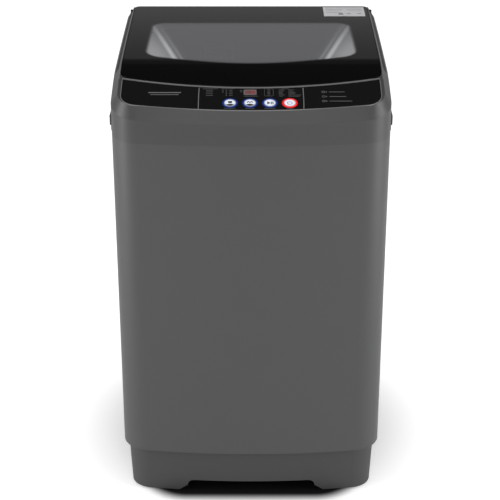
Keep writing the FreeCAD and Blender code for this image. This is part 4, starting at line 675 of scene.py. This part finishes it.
def holes_tree():
    """Rows of small discs around the inside of a drum, each facing its axis."""
    tree, start, end = nodes_tree("Drum Holes", [
        ("Drum Radius", "Float", 0.2), ("Low", "Float", 0.3), ("Row Pitch", "Float", 0.015),
        ("Rows", "Int", 20), ("Columns", "Int", 60), ("Hole Radius", "Float", 0.002),
        ("Finish", "Material", None)])
    ring = tree.nodes.new("GeometryNodeMeshCircle")
    rows = tree.nodes.new("GeometryNodeMeshLine")
    low, step = (tree.nodes.new("ShaderNodeCombineXYZ") for _ in range(2))
    levels = tree.nodes.new("GeometryNodeInstanceOnPoints")
    spots = tree.nodes.new("GeometryNodeRealizeInstances")
    disc = tree.nodes.new("GeometryNodeMeshCylinder")
    disc.inputs["Vertices"].default_value = 8
    disc.inputs["Depth"].default_value = 0.3*MM
    face = tree.nodes.new("FunctionNodeAlignEulerToVector")
    face.axis = "Z"
    flat = tree.nodes.new("ShaderNodeVectorMath")
    flat.operation = "MULTIPLY"
    flat.inputs[1].default_value = (1.0, 1.0, 0.0)
    place = tree.nodes.new("GeometryNodeInputPosition")
    copies = tree.nodes.new("GeometryNodeInstanceOnPoints")
    link_up(tree, (start.outputs["Drum Radius"], ring.inputs["Radius"]),
            (start.outputs["Columns"], ring.inputs["Vertices"]),
            (start.outputs["Low"], low.inputs["Z"]), (start.outputs["Row Pitch"], step.inputs["Z"]),
            (low.outputs[0], rows.inputs["Start Location"]), (step.outputs[0], rows.inputs["Offset"]),
            (start.outputs["Rows"], rows.inputs["Count"]), (rows.outputs[0], levels.inputs["Points"]),
            (ring.outputs[0], levels.inputs["Instance"]), (levels.outputs[0], spots.inputs[0]),
            (start.outputs["Hole Radius"], disc.inputs["Radius"]),
            (place.outputs[0], flat.inputs[0]), (flat.outputs[0], face.inputs["Vector"]),
            (spots.outputs[0], copies.inputs["Points"]), (disc.outputs[0], copies.inputs["Instance"]),
            (face.outputs[0], copies.inputs["Rotation"]))
    return close_tree(tree, start, end, copies.outputs[0])


# Operators

class WASHER_OT_stage(bpy.types.Operator):
    """Floor, lamps, world and camera"""
    bl_idname = "washer.stage"
    bl_label = "Stage"

    def execute(self, context):
        stage = context.scene.washer_stage
        context.scene.view_settings.view_transform = "Standard"
        self.camera(context, stage)
        self.floor(stage)
        self.world(context)
        side = stage.lamp_power
        self.lamp("left_panel", (-2.6, -0.85, 1.1), (0.0, -0.1, 0.5), (1.2, 2.4), side)
        self.lamp("right_panel", (2.6, -0.85, 1.1), (0.0, -0.1, 0.5), (1.2, 2.4), side)
        self.lamp("front_panel", (0.0, -4.6, 3.2), (0.0, 0.0, 0.4), (3.0, 1.6), side*0.8)
        return {"FINISHED"}

    def camera(self, context, stage):
        data = bpy.data.cameras.new("camera")
        data.lens = stage.camera_lens
        data.shift_x = -0.0022
        camera = bpy.data.objects.new("camera", data)
        context.scene.collection.objects.link(camera)
        camera.location = (0.0, -stage.camera_back, stage.camera_height)
        camera.rotation_euler = (pi/2 - stage.camera_dip, 0.0, 0.0)
        context.scene.camera = camera

    def floor(self, stage):
        obj = empty_piece("floor")
        bm = bmesh.new()
        bmesh.ops.create_grid(bm, x_segments=1, y_segments=1, size=stage.floor_width/2)
        bm.to_mesh(obj.data)
        bm.free()
        material = bpy.data.materials.new("floor_white")
        material.use_nodes = True
        tree = material.node_tree
        tree.nodes.clear()
        matt = tree.nodes.new("ShaderNodeBsdfDiffuse")
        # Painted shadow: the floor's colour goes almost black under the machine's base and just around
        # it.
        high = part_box("base_frame")[1]
        x, y, _ = object_axes(tree)
        bend = 70*MM
        side = maths(tree, "SUBTRACT", maths(tree, "ABSOLUTE", x, 0.0), high.x - 45*MM - bend)
        deep = maths(tree, "SUBTRACT", maths(tree, "ABSOLUTE", y, 0.0), high.y + 8*MM - bend)
        squares = [maths(tree, "POWER", maths(tree, "MAXIMUM", part, 0.0), 2.0)
                   for part in (side, deep)]
        outward = maths(tree, "POWER", maths(tree, "ADD", *squares), 0.5)
        apart = ramp_between(tree, outward, bend, bend + 36*MM)
        tree.links.new(blend_colours(tree, apart, (0.01, 0.01, 0.01), (0.88, 0.88, 0.88)),
                       matt.inputs["Color"])
        glow = tree.nodes.new("ShaderNodeEmission")
        total = tree.nodes.new("ShaderNodeAddShader")
        out = tree.nodes.new("ShaderNodeOutputMaterial")
        path = tree.nodes.new("ShaderNodeLightPath")
        seen = maths(tree, "MAXIMUM", path.outputs["Is Camera Ray"],
                     path.outputs["Is Transmission Ray"])
        reach = tree.nodes.new("ShaderNodeVectorMath")
        reach.operation = "LENGTH"
        tree.links.new(tree.nodes.new("ShaderNodeTexCoord").outputs["Object"], reach.inputs[0])
        # Painted shadow: the camera's glow on the floor fades towards the machine, so the floor is
        # darker near it as well as in its real shadow.
        spread = ramp_between(tree, reach.outputs["Value"], 0.14, 0.44)
        fill = maths(tree, "ADD", maths(tree, "MULTIPLY", spread, 0.48), 0.02)
        fill = maths(tree, "MULTIPLY", fill, apart)
        link_up(tree, (maths(tree, "MULTIPLY", seen, fill), glow.inputs["Strength"]),
                (matt.outputs[0], total.inputs[0]), (glow.outputs[0], total.inputs[1]),
                (total.outputs[0], out.inputs["Surface"]))
        obj.data.materials.append(material)

    def world(self, context):
        world = bpy.data.worlds.new("studio")
        context.scene.world = world
        world.use_nodes = True
        tree = world.node_tree
        tree.nodes.clear()
        path = tree.nodes.new("ShaderNodeLightPath")
        white, soft, mirror = (tree.nodes.new("ShaderNodeBackground") for _ in range(3))
        for shade, strength in ((white, 1.0), (soft, 0.62)):
            shade.inputs["Color"].default_value = (1.0, 1.0, 1.0, 1.0)
            shade.inputs["Strength"].default_value = strength
        split = tree.nodes.new("ShaderNodeSeparateXYZ")
        height = ramp_between(tree, split.outputs["Z"], 0.18, 0.56)
        bright = maths(tree, "SUBTRACT", 0.36, maths(tree, "MULTIPLY", height, 0.32))
        first, second = (tree.nodes.new("ShaderNodeMixShader") for _ in range(2))
        out = tree.nodes.new("ShaderNodeOutputWorld")
        seen = maths(tree, "MAXIMUM", path.outputs["Is Camera Ray"],
                     path.outputs["Is Transmission Ray"])
        link_up(tree, (tree.nodes.new("ShaderNodeTexCoord").outputs["Generated"], split.inputs[0]),
                (bright, mirror.inputs["Strength"]),
                (path.outputs["Is Glossy Ray"], first.inputs[0]), (soft.outputs[0], first.inputs[1]),
                (mirror.outputs[0], first.inputs[2]), (seen, second.inputs[0]),
                (first.outputs[0], second.inputs[1]), (white.outputs[0], second.inputs[2]),
                (second.outputs[0], out.inputs["Surface"]))

    def lamp(self, name, place, target, size, power):
        data = bpy.data.lights.new(name, "AREA")
        data.shape = "RECTANGLE"
        data.size, data.size_y = size
        data.energy = power
        obj = bpy.data.objects.new(name, data)
        bpy.context.scene.collection.objects.link(obj)
        obj.location = place
        obj.rotation_euler = (Vector(place) - Vector(target)).to_track_quat("Z", "Y").to_euler()


class WASHER_OT_finishes(bpy.types.Operator):
    """Give every construction part its finish"""
    bl_idname = "washer.finishes"
    bl_label = "Finishes"

    def execute(self, context):
        finish = context.scene.washer_finish
        make_materials(finish)
        bare = set(NODES)
        for label, names in NODE_FINISH.items():
            for name in names:
                NODES[name].data.materials.clear()
                NODES[name].data.materials.append(MATERIALS[label])
                bare.discard(name)
        for name in ("program", "level", "start", "power"):
            ring = finish.ring_red if name == "power" else finish.ring_blue
            cap_material(finish, name, tuple(ring))
        if bare:
            raise RuntimeError(f"no finish for {sorted(bare)}")
        return {"FINISHED"}


class WASHER_OT_panel_rim(bpy.types.Operator):
    """A light grey bead around the control panel, whose colour is a painted highlight on the panel's
    edge
    """
    bl_idname = "washer.panel_rim"
    bl_label = "Panel Rim"

    def execute(self, context):
        detail = context.scene.washer_detail
        normal = Vector((0.0, -sin(PANEL_SLOPE), cos(PANEL_SLOPE)))
        outline = max(top_loops("control_fascia", normal), key=len)
        if sum(a.x*b.y - b.x*a.y for a, b in zip(outline, outline[1:] + outline[:1])) < 0:
            outline.reverse()
        inner, outer = [], []
        for i, point in enumerate(outline):
            along = (outline[(i + 1) % len(outline)] - outline[i - 1]).normalized()
            out = Vector((along.y, -along.x)).normalized()
            rear = max(0.0, min(1.0, (out.y - 0.55)/0.35))
            width = detail.rim_width + (detail.rib_width - detail.rim_width)*rear
            flat = Vector((point.x, point.y))
            inner.append(flat + out*0.15*MM)
            outer.append(flat + out*width)
        bm = bmesh.new()
        place = skin_place()
        row = place(0.0, 0.0, 0.0).y
        add_band(bm, inner, outer, -0.5*MM, 0.75*MM,
                 lambda x, y, out: place(x, (y - row)/cos(PANEL_SLOPE), out))
        piece_from(bm, "panel_rim", "cabinet", "trim_grey_and_painted_highlight")
        self.lid_rail_highlights(detail)
        return {"FINISHED"}


    def lid_rail_highlights(self, detail):
        """Light grey strips on the rails along the lid's two sides, painted highlights on their
        bevels.
        """
        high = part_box("lid_glass")[1]
        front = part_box("lid_grip")[0].y + 24*MM
        shell = surface_of("top_frame")
        bm = bmesh.new()
        for side in (-1, 1):
            near, far = side*(high.x + 2.0*MM), side*(high.x + 3.1*MM)
            spots = [front + (high.y - 6*MM - front)*i/40 for i in range(41)]
            rows = []
            for y in spots:
                hit = shell.ray_cast(Vector((far, y, 1.0)), Vector((0, 0, -1)))[0]
                if hit is None:
                    raise RuntimeError("the rail isn't beside the lid")
                rows.append([bm.verts.new((x, y, hit.z + z)) for x, z in
                             ((near, -0.6*MM), (far, -0.6*MM), (far, 0.25*MM), (near, 0.55*MM))])
            for a, b in zip(rows, rows[1:]):
                for i in range(4):
                    bm.faces.new((a[i], a[(i + 1) % 4], b[(i + 1) % 4], b[i]))
            bm.faces.new(rows[0])
            bm.faces.new(rows[-1][::-1])
        piece_from(bm, "lid_rail_highlights", "cabinet", "trim_grey_and_painted_highlight")


class WASHER_OT_panel_print(bpy.types.Operator):
    """Plain marks in the places of the panel's small print"""
    bl_idname = "washer.panel_print"
    bl_label = "Panel Print"

    def execute(self, context):
        detail = context.scene.washer_detail
        place = skin_place()
        tree = marks_tree()
        columns = {
            "cycle_marks": (-80, 37, 4, 5.2, 13, 0.9, 0.7, 3),
            "cycle_heading": (-86, 41.5, 1, 3, 29, 0.9, 0.9, 1),
            "stage_dots_left": (-51, 37, 2, 5.2, 2.0, 1.5, 1.0, 1),
            "stage_dots_middle": (-45, 37, 4, 5.2, 2.4, 1.5, 1.0, 1),
            "stage_marks": (-39, 37, 4, 5.2, 6.5, 0.9, 0.8, 5),
            "stage_heading": (-53, 41.5, 1, 3, 24, 0.9, 0.9, 1),
            "delay_marks": (-20, 36, 2, 3.8, 5.5, 0.8, 0.7, 2),
            "display_caption": (-13, 19.5, 1, 3, 27, 0.8, 0.9, 1),
            "lock_marks": (28.5, 38, 5, 3.9, 6.5, 0.8, 0.7, 6),
            "option_marks": (49, 38, 6, 3.7, 11, 0.8, 0.6, 7),
            "option_heading": (54, 41.5, 1, 3, 14, 0.8, 0.9, 1),
            "option_notes": (66, 38, 6, 3.7, 13, 0.8, 0.6, 9),
            "option_tail": (66, 23, 2, 3.7, 24, 0.8, 0.8, 4),
            "program_caption": (-48, -16.0, 1, 3, 22, 0.9, 0.9, 1),
            "level_caption": (-10, -16.0, 1, 3, 17, 0.9, 0.9, 1),
            "start_caption": (23, -16.0, 1, 3, 21, 0.9, 0.9, 1),
            "power_caption": (62, -16.0, 1, 3, 13, 0.9, 0.9, 1),
            "left_band": (-182, 30, 1, 3, 58, 3.0, 1.0, 1),
            "left_band_note": (-178, 24, 1, 3, 50, 1.8, 1.0, 1),
            "right_notes": (138, 32, 3, 13.5, 40, 1.3, 0.6, 8),
        }
        slope = Matrix.Rotation(PANEL_SLOPE, 4, "X")
        for name, (x, up, rows, pitch, width, height, shortest, seed) in columns.items():
            obj = grown(empty_piece(name), tree, "cabinet", "light_trim", "panel_print",
                        rows=rows, row_pitch=pitch*MM, bar_width=width*MM, bar_height=height*MM,
                        thickness=detail.print_height, shortest=shortest, seed=seed)
            corner = place(x*MM, up*MM, 0.0)
            obj.data.transform(Matrix.Translation(corner) @ slope)
        self.outlines(place, detail)
        return {"FINISHED"}

    def outlines(self, place, detail):
        """The drawn boxes and small signs beside the printed rows."""
        bm = bmesh.new()
        high = detail.print_height
        centre = (31.5*MM, 30.5*MM)
        add_band(bm, rounded(*centre, 15.2*MM, 21*MM, 3*MM), rounded(*centre, 16*MM, 21.8*MM, 3.4*MM),
                 0.0, high, place)
        for up in (32, 18.5, 5):
            spot = (128*MM, up*MM)
            add_band(bm, arc(*spot, 2.1*MM, steps=20), arc(*spot, 3.1*MM, steps=20), 0.0, high, place)
            add_prism(bm, bar(spot[0] + 5.2*MM, spot[1], 1.6*MM, 3.2*MM), 0.0, high, place)
        piece_from(bm, "panel_signs", "cabinet", "panel_print")


class WASHER_OT_button_signs(bpy.types.Operator):
    """Plain signs on the four buttons"""
    bl_idname = "washer.button_signs"
    bl_label = "Button Signs"

    def execute(self, context):
        lift = context.scene.washer_detail.print_height
        for name, draw in (("program", self.tub), ("level", self.waves), ("start", self.play),
                           ("power", self.power)):
            place = over(f"{name}_button", middle(f"{name}_button"))
            bm = bmesh.new()
            draw(bm, place, -lift, lift)
            ink = "power_ink" if name == "power" else "button_ink"
            piece_from(bm, f"{name}_sign", f"{name}_button", ink)
        return {"FINISHED"}

    def tub(self, bm, place, low, high):
        """A wash tub over a dark foot."""
        tub = [(-4.0, 3.6), (-3.0, -1.9), (3.0, -1.9), (4.0, 3.6)]
        add_prism(bm, [(x*MM, (y + 1.6)*MM) for x, y in tub], low, high, place)
        self.foot(bm, place, low, high)

    def foot(self, bm, place, low, high):
        """The dark foot of a sign, which fills the cap's lower edge."""
        outer = arc(0, 0, 8.8*MM, 208, 332, 14)
        inner = [(x, -3.6*MM + 1.1*MM*cos(x/(8.8*MM)*pi)) for x, _ in outer]
        add_band(bm, inner, outer, low, high, place, closed=False)

    def waves(self, bm, place, low, high):
        """A wave line over the same foot."""
        line = [(-5.4, 2.2), (-2.7, 5.6), (0.0, 2.4), (2.7, 5.6), (5.4, 2.2)]
        lower = [(x*MM, (y - 2.6)*MM) for x, y in line]
        add_band(bm, [(x*MM, y*MM) for x, y in line], lower, low, high, place, closed=False)
        self.foot(bm, place, low, high)

    def play(self, bm, place, low, high):
        add_prism(bm, [(-4.6*MM, -4.2*MM), (1.0*MM, 0.0), (-4.6*MM, 4.2*MM)], low, high, place)
        for x in (2.6, 5.4):
            add_prism(bm, bar(x*MM, 0.0, 1.7*MM, 7.4*MM), low, high, place)

    def power(self, bm, place, low, high):
        add_band(bm, arc(0, 0, 3.6*MM, -235, 55, 24), arc(0, 0, 4.6*MM, -235, 55, 24), low, high,
                 place, closed=False)
        add_prism(bm, bar(0.0, 3.4*MM, 1.0*MM, 3.6*MM), low, high, place)


class WASHER_OT_display_digits(bpy.types.Operator):
    """Seven-bar digits on the display"""
    bl_idname = "washer.display_digits"
    bl_label = "Display Digits"

    def execute(self, context):
        lift = context.scene.washer_detail.print_height
        place = over("display_window", middle("display_window"))
        bm = bmesh.new()
        bars = {0: "abcdef", 3: "abcdg", 8: "abcdefg"}
        for digit, x in zip((0, 3, 8), (-5.6, 0.0, 5.6)):
            self.digit(bm, bars[digit], x*MM, place, lift)
        piece_from(bm, "display_digits", "cabinet", "digit_red")
        self.frame(place, lift)
        return {"FINISHED"}

    def frame(self, place, lift):
        """A pale outline with rounded corners around the digits."""
        bm = bmesh.new()
        add_band(bm, rounded(0.0, 0.0, 19.4*MM, 11.0*MM, 3.0*MM),
                 rounded(0.0, 0.0, 21.4*MM, 13.4*MM, 4.0*MM), -lift, lift, place)
        piece_from(bm, "display_frame", "cabinet", "display_edge")

    def digit(self, bm, lit, x, place, lift):
        wide, tall, thick = 3.3*MM, 3.7*MM, 0.8*MM
        spots = {"a": (0, 2, 1), "g": (0, 0, 1), "d": (0, -2, 1), "f": (-1, 1, 0), "b": (1, 1, 0),
                 "e": (-1, -1, 0), "c": (1, -1, 0)}
        for name in lit:
            side, level, flat = spots[name]
            size = (wide - thick, thick) if flat else (thick, tall - thick)
            add_prism(bm, bar(x + side*wide/2, level*tall/2, *size), -lift, lift, place)


class WASHER_OT_label_print(bpy.types.Operator):
    """Plain lines and marks on the lid's label"""
    bl_idname = "washer.label_print"
    bl_label = "Label Print"

    def execute(self, context):
        lift = context.scene.washer_detail.print_height
        low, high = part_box("blank_label")
        card = surface_of("blank_label")

        def place(x, y, out):
            hit = card.ray_cast(Vector((low.x + x, high.y - y, high.z + 0.05)), Vector((0, 0, -1)))[0]
            if hit is None:
                raise RuntimeError("a mark misses the label")
            return hit + Vector((0, 0, out))

        bm = bmesh.new()
        for y, start, stop in ((7, 5, 77), (17, 5, 40), (17, 46, 77), (27, 5, 36), (27, 50, 77),
                               (39, 5, 30)):
            add_prism(bm, bar((start + stop)/2*MM, y*MM, (stop - start)*MM, 1.3*MM)[::-1], -lift, lift,
                      place)
        for x, y, wide, tall in ((34, 44, 8, 6), (50, 46, 8, 3), (71, 47, 8, 3), (34, 52, 10, 4)):
            add_prism(bm, bar(x*MM, y*MM, wide*MM, tall*MM)[::-1], -lift, lift, place)
        piece_from(bm, "label_marks", "lid", "label_ink")
        return {"FINISHED"}


class WASHER_OT_rail_ribs(bpy.types.Operator):
    """Fine ribs along the two side rails of the top frame, dark as painted shade of grooves, and the
    hinge ends in them
    """
    bl_idname = "washer.rail_ribs"
    bl_label = "Rail Ribs"

    def execute(self, context):
        detail = context.scene.washer_detail
        shell = surface_of("top_frame")
        lid_low, lid_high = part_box("lid_glass")
        frame_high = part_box("top_frame")[1].x
        tree = ribs_tree()
        for side, name in ((-1, "left"), (1, "right")):
            path = self.path(shell, side, frame_high - 7*MM, lid_low.y, lid_high.y - 24*MM)
            obj = empty_piece(f"{name}_rail_ribs")
            obj.data.from_pydata(path, [(i, i + 1) for i in range(len(path) - 1)], [])
            grown(obj, tree, "cabinet", "grey_plastic", "groove_painted_shade",
                  pitch=detail.rail_rib_pitch,
                  bar_size=(13*MM, detail.rail_rib_width, 0.6*MM),
                  bar_turn=(0.0, side*radians(57), side*radians(-12)))
            self.hinge_end(shell, side, frame_high - 7.5*MM, middle("hinge_pins").y - 6*MM, name)
        return {"FINISHED"}

    def path(self, shell, side, x, front, rear):
        """Points down the middle of the rail's sloping band."""
        points = []
        for i in range(25):
            y = front + (rear - front)*i/24
            hit = shell.ray_cast(Vector((side*x, y, 1.0)), Vector((0, 0, -1)))[0]
            if hit is None:
                raise RuntimeError("the rail isn't where its ribs go")
            points.append(hit)
        return points

    def hinge_end(self, shell, side, x, y, name):
        """A dark round hinge cover in the rail's band."""
        hit, normal = shell.ray_cast(Vector((side*x, y, 1.0)), Vector((0, 0, -1)))[:2]
        turn = normal.to_track_quat("Z", "Y").to_matrix()

        def place(a, b, out):
            return hit + turn @ Vector((a, b, out))

        bm = bmesh.new()
        add_prism(bm, arc(0, 0, 3.4*MM, steps=28), -0.3*MM, 0.2*MM, place)
        add_band(bm, arc(0, 0, 3.4*MM, steps=28), arc(0, 0, 4.4*MM, steps=28), -0.3*MM, 0.45*MM, place)
        piece_from(bm, f"{name}_hinge_cover", "cabinet", "black_plastic")


class WASHER_OT_drum_holes(bpy.types.Operator):
    """Dark discs all over the drum wall, painted shade in the places of its holes"""
    bl_idname = "washer.drum_holes"
    bl_label = "Drum Holes"

    def execute(self, context):
        detail = context.scene.washer_detail
        low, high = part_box("drum_shell")
        wall = surface_of("drum_shell")
        level = (low.z + high.z)/2
        hit = wall.ray_cast(Vector((0, 0, level)), Vector((0, 1, 0)))[0]
        bottom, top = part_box("pulsator")[1].z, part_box("balance_ring")[0].z
        pitch = (top - bottom - 20*MM)/detail.hole_rows
        grown(empty_piece("drum_holes"), holes_tree(), "drum", "stainless", "hole_painted_shade",
              drum_radius=hit.y, low=bottom + 15*MM, row_pitch=pitch, rows=detail.hole_rows,
              columns=detail.hole_columns, hole_radius=detail.hole_radius)
        return {"FINISHED"}


CLASSES = [WasherFinish, WasherDetail, WasherStage, WASHER_OT_stage, WASHER_OT_finishes,
           WASHER_OT_panel_rim, WASHER_OT_panel_print, WASHER_OT_button_signs,
           WASHER_OT_display_digits, WASHER_OT_label_print, WASHER_OT_rail_ribs,
           WASHER_OT_drum_holes]
STEPS = [c for c in CLASSES if issubclass(c, bpy.types.Operator)]


class WASHER_PT_sidebar(bpy.types.Panel):
    """The washing machine's steps, in the order that they run"""
    bl_idname = "WASHER_PT_sidebar"
    bl_label = "Washer"
    bl_space_type = "VIEW_3D"
    bl_region_type = "UI"
    bl_category = "Washer"

    def draw(self, context):
        for step in STEPS:
            self.layout.operator(step.bl_idname)


def register():
    for cls in CLASSES + [WASHER_PT_sidebar]:
        bpy.utils.register_class(cls)
    bpy.types.Scene.washer_finish = PointerProperty(type=WasherFinish)
    bpy.types.Scene.washer_detail = PointerProperty(type=WasherDetail)
    bpy.types.Scene.washer_stage = PointerProperty(type=WasherStage)


def unregister():
    for name in ("washer_finish", "washer_detail", "washer_stage"):
        delattr(bpy.types.Scene, name)
    for cls in reversed(CLASSES + [WASHER_PT_sidebar]):
        bpy.utils.unregister_class(cls)


def main():
    register()
    for step in STEPS:
        group, name = step.bl_idname.split(".")
        getattr(getattr(bpy.ops, group), name)()


if __name__ == "__main__":
    main()
